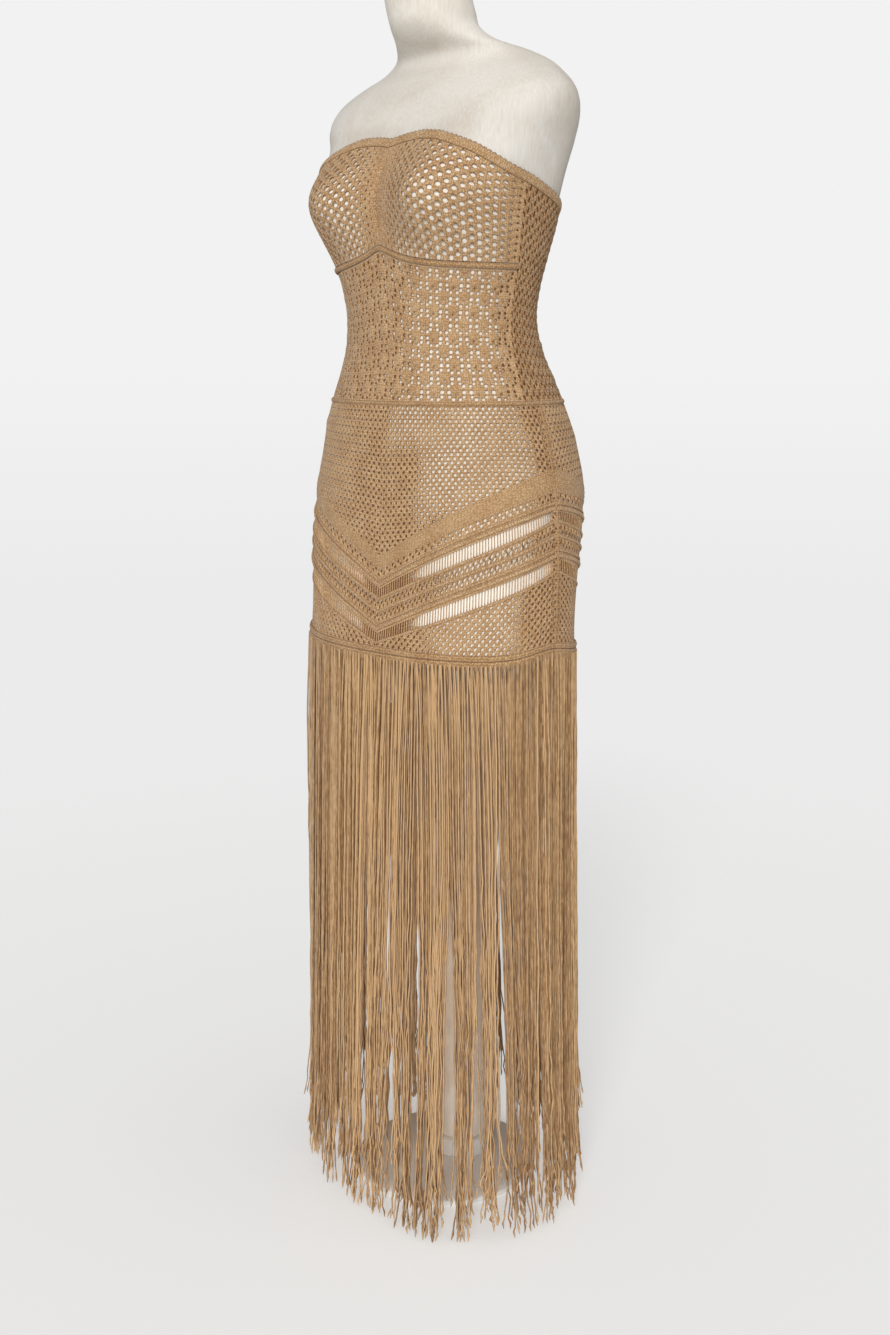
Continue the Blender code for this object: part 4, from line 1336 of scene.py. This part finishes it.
chance = np.random.default_rng(20)
for side, turns in PANELS:
    mesh = straight_yarns(f"fringe_{side}_yarns")
    flat = numbers(mesh)
    yarn = np.rint(flat[:, 0]).astype(int)
    level = np.rint(-flat[:, 2]).astype(int)
    share = RING_SHARES[level]
    across, depth = (flat[:, 0] - yarn) * 10, flat[:, 1] * 10
    # Each yarn leaves its knot and spreads to its own place. Further down the yarns
    # draw together in bunches of uneven width, with gaps between the bunches.
    each = np.arange(YARNS)
    knot = each * KNOTS // YARNS
    knot_turn = turns[0] + (knot + 0.5) * 2 / KNOTS
    own_turn = turns[0] + (each + 0.5) * 2 / YARNS + chance.normal(0, 0.0035, YARNS)
    ends = np.cumsum(chance.integers(*BUNCH, YARNS))
    bunch = np.searchsorted(ends, each)
    bunches = bunch.max() + 1
    bunch_turn = np.bincount(bunch, own_turn) / np.bincount(bunch)
    drawn = chance.uniform(*DRAWN, bunches)[bunch] * (chance.uniform(0, 1, YARNS) > ALONE)
    drawn_turn = own_turn + (bunch_turn[bunch] - own_turn) * drawn
    spread = 0.3 + 0.7 * np.clip(share / SPREAD_BY, 0, 1) ** 0.7
    turn = knot_turn[yarn] + (own_turn - knot_turn)[yarn] * spread
    turn = turn + (drawn_turn - own_turn)[yarn] * eased(share, DRAWN_FROM, DRAWN_BY)
    turn = turn + parted(drawn_turn[yarn], share)
    layer = chance.uniform(-1, 1, YARNS)
    fringe_top = hem_level(turn) - YARN_ROOT
    root = on_body(turn, fringe_top, YARN_ROOT + LAYERS * layer[yarn], "skirt")
    # The curtain stands out a little further down, most of all beside the left leg.
    outward = root * (1, 1, 0)
    outward /= np.linalg.norm(outward, axis=1, keepdims=True)
    beside = np.stack([-outward[:, 1], outward[:, 0], np.zeros(len(outward))], axis=1)
    flare = np.where(root[:, 1] < 0, FLARE[0], FLARE[2]) * outward[:, 1] ** 2
    flare = flare + FLARE[1] * outward[:, 0] ** 2
    kicked = outward[:, 0] * math.sin(KICK_ANGLE) - outward[:, 1] * math.cos(KICK_ANGLE)
    flare = flare + KICK * np.clip(kicked, 0, 1) ** 4
    # Bunches lean a little, each yarn strays and kinks, and the ends fan out.
    lean = np.clip(chance.normal(0, 1, (4, bunches)), -2, 2)[:, bunch]
    stray = np.clip(chance.normal(0, 1, (5, YARNS)), -2, 2)
    kinks = chance.normal(0, 1, (2, len(RING_SHARES), YARNS))[:, level, yarn]
    frayed = np.clip((share - FRAYED_FROM) / 0.14, 0, 1) ** 1.6
    free = np.clip(share * 6, 0, 1)
    kinked = KINKED[0] + KINKED[1] * eased(share, 0.2, 0.8)
    sideways = LEANING[0] * lean[0][yarn] * np.sin(2.8 * share)
    sideways = sideways + STRAYING[0] * stray[0][yarn] * free
    sideways = sideways + kinked * kinks[0] * free + FRAYING[0] * stray[1][yarn] * frayed
    outwards = LEANING[1] * lean[1][yarn] * share + STRAYING[1] * stray[2][yarn] * free
    outwards = outwards + 0.0003 * kinks[1] * free
    outwards = outwards + FRAYING[1] * (0.5 + stray[3][yarn]) * frayed
    short = UNEVEN_TIPS * lean[2] + chance.uniform(*SHORTER, YARNS)
    tip = LOWEST_TIP + np.where(short > 0, short, -0.12 * short)
    middle = root + outward * (flare * share + outwards)[:, None] + beside * sideways[:, None]
    middle[:, 2] = fringe_top + (tip[yarn] - fringe_top) * share
    slim = RING_WIDTHS[level]
    points = middle + beside * (across * YARN_WIDE * slim)[:, None]
    points = points + outward * (depth * YARN_DEEP * slim)[:, None]
    # Painted shade: the yarns are painted darker on the sides, which turn away from the
    # key light beside the camera.
    turned_from_light = eased(np.abs((own_turn - 0.32 + 2) % 4 - 2), 0.30, 0.62)
    yarn_tone_and_shade = TONE + OWN_TONE * stray[4] + BUNCH_TONE * lean[3] + LAYER_SHADE * layer
    yarn_tone_and_shade = yarn_tone_and_shade + SIDE_SHADE * turned_from_light
    round_it = np.abs(np.arctan2(depth, across)) / math.pi
    laid_out(mesh, np.stack([yarn * 0.37 + round_it, share * 0.65], axis=1))
    placed(mesh, points)
    told(mesh, "tone_and_shade", np.clip(yarn_tone_and_shade[yarn] - 0.12 * share, 0, 1))
    piece(f"fringe_{side}_yarns", mesh, YARN, "fringe_yarn", f"fringe_{side}")

    bm = bmesh.new()
    bmesh.ops.create_uvsphere(bm, u_segments=8, v_segments=5, radius=0.2)
    mesh = repeated(f"fringe_{side}_knots", bm, (KNOTS, (1, 0, 0)))
    mapped(mesh)
    flat = numbers(mesh)
    knot = np.rint(flat[:, 0])
    flat[:, 0] -= knot
    flat *= 5
    turn = turns[0] + (knot + 0.5) * 2 / KNOTS + flat[:, 0] * KNOT_SIZE[0] / TURN_LENGTH
    height = hem_level(turn) - KNOT_BELOW + flat[:, 2] * KNOT_SIZE[2]
    placed(mesh, on_body(turn, height, KNOT_LIFT - flat[:, 1] * KNOT_SIZE[1], "skirt"))
    piece(f"fringe_{side}_knots", mesh, CORD_COTTON, "fringe_yarn")

# ----------------------------------------------------------- the studio and the camera
# A matte white floor that fades out into a round seamless backdrop, lit from beside the
# camera by a soft light, from above by another, and evenly from all round.

FLOOR_RADIUS = 2.3
BACKDROP_BELOW = 0.004  # the backdrop lies under the floor
BACKDROP_FLAT = 4.0  # its flat part's radius, then the radius of the bend up into its wall
BACKDROP_BEND = 2.0
BACKDROP_TOP = 9.0

# Matte white board, its own faint glow standing for the light that a large floor returns.
BOARD, tree, shader = bare("matte_white_board", "#d2d2d0", 1.0)
shader.inputs["Emission Color"].default_value = hexed("#ffffff")
shader.inputs["Emission Strength"].default_value = 0.36
place = add(tree, "ShaderNodeTexCoord").outputs["Object"]
grain = add(tree, "ShaderNodeTexNoise", {"Scale": 40.0, "Detail": 2.0}, {"Vector": place})
settings = {"Strength": 0.03, "Distance": 0.001}
bump = add(tree, "ShaderNodeBump", settings, {"Height": grain.outputs["Fac"]})
tree.links.new(bump.outputs[0], shader.inputs["Normal"])
away = add(tree, "ShaderNodeVectorMath", {"operation": "LENGTH"}, {0: place})
settings = {
    "interpolation_type": "SMOOTHSTEP",
    "From Min": 0.7,
    "From Max": FLOOR_RADIUS,
    "To Min": 1.0,
    "To Max": 0.0,
}
fade = add(tree, "ShaderNodeMapRange", settings, {"Value": away.outputs["Value"]})
tree.links.new(fade.outputs[0], shader.inputs["Alpha"])
bm = bmesh.new()
bmesh.ops.create_circle(bm, cap_ends=True, segments=SPIN_STEPS, radius=FLOOR_RADIUS)
floor_mesh = as_mesh("floor_board", bm)
floor_mesh.materials.append(BOARD)

# A backlit sheet behind everything, a little brighter higher up.
BACKDROP = bpy.data.materials.new("backlit_backdrop_sheet")
BACKDROP.use_nodes = True
tree = BACKDROP.node_tree
tree.nodes.remove(tree.nodes["Principled BSDF"])
place = add(tree, "ShaderNodeTexCoord").outputs["Object"]
axes = add(tree, "ShaderNodeSeparateXYZ", {}, {0: place})
settings = {"stops": ((0.02, "#ebebeb"), (0.9, "#f2f2f2"))}
shades = add(tree, "ShaderNodeValToRGB", settings, {"Fac": axes.outputs["Z"]})
glow = add(tree, "ShaderNodeEmission", {"Strength": 1.0}, {"Color": shades.outputs[0]})
tree.links.new(glow.outputs[0], tree.nodes["Material Output"].inputs["Surface"])
outline = [(share * BACKDROP_FLAT, -BACKDROP_BELOW) for share in (0.0, 0.5, 1.0)]
for k in range(1, 13):
    a = k * math.pi / 24
    radius = BACKDROP_FLAT + BACKDROP_BEND * math.sin(a)
    outline.append((radius, BACKDROP_BEND - BACKDROP_BEND * math.cos(a)))
outline.append((BACKDROP_FLAT + BACKDROP_BEND, BACKDROP_TOP))
bm = spun(outline)
bmesh.ops.reverse_faces(bm, faces=bm.faces)
backdrop_mesh = as_mesh("backdrop", bm)
backdrop_mesh.shade_smooth()
backdrop_mesh.materials.append(BACKDROP)
floor = shown("floor_board", floor_mesh)
backdrop = shown("backdrop", backdrop_mesh)
# The backdrop is only looked at: it neither lights the dress nor stops any light.
for rays in ("diffuse", "glossy", "transmission", "volume_scatter", "shadow"):
    setattr(backdrop, f"visible_{rays}", False)

CAMERA_TURN = math.radians(43)
CAMERA_AWAY = 1.70
CAMERA_HEIGHT = 0.985
CAMERA_TILT = math.radians(12)


def toward(turn, raised):
    """A unit arrow that points out at a turn round the dress and a height angle."""
    level = math.cos(raised)
    return Vector((math.sin(turn) * level, -math.cos(turn) * level, math.sin(raised)))


camera_data = bpy.data.cameras.new("camera")
camera_data.sensor_fit = "AUTO"
camera_data.sensor_width = 24.0
camera_data.lens = 26.97
camera = shown("camera", camera_data)
camera.location = toward(CAMERA_TURN, 0) * CAMERA_AWAY + Vector((0, 0, CAMERA_HEIGHT))
camera.rotation_euler = (math.pi / 2 - CAMERA_TILT, 0, CAMERA_TURN)
bpy.context.scene.camera = camera

# name, turn round from the camera in degrees, height angle, softness, strength
SUNS = (("key_light", -9, 18, 18, 2.15), ("top_light", 40, 66, 60, 0.45))
for name, turn, raised, soft, strength in SUNS:
    lamp = bpy.data.lights.new(name, "SUN")
    lamp.angle = math.radians(soft)
    lamp.energy = strength
    arrow = toward(CAMERA_TURN + math.radians(turn), math.radians(raised))
    shown(name, lamp).rotation_euler = arrow.to_track_quat("Z", "Y").to_euler()

# Light that has come through the gaps of the fringe and is thrown about inside it.
INNER_LEVELS = (0.50, 0.32, 0.14)
INNER_STRENGTH = 0.45
INNER_BEFORE = 0.045  # in front of the column
inside = bpy.data.collections.new("inside_of_the_fringe")
for name in ("fringe_front_yarns", "fringe_back_yarns"):
    inside.objects.link(bpy.data.objects[name])
for k, level in enumerate(INNER_LEVELS):
    lamp = bpy.data.lights.new(f"inner_light_{k}", "POINT")
    lamp.shadow_soft_size = 0.03
    lamp.energy = INNER_STRENGTH
    holder = shown(f"inner_light_{k}", lamp)
    holder.location = (0, -INNER_BEFORE, level)
    holder.visible_camera = False
    holder.light_linking.receiver_collection = inside

world = bpy.data.worlds.new("even_light")
world.use_nodes = True
sky = world.node_tree.nodes["Background"]
sky.inputs["Color"].default_value = hexed("#ffffff")
sky.inputs["Strength"].default_value = 0.34
bpy.context.scene.world = world
bpy.context.scene.view_settings.view_transform = "Standard"
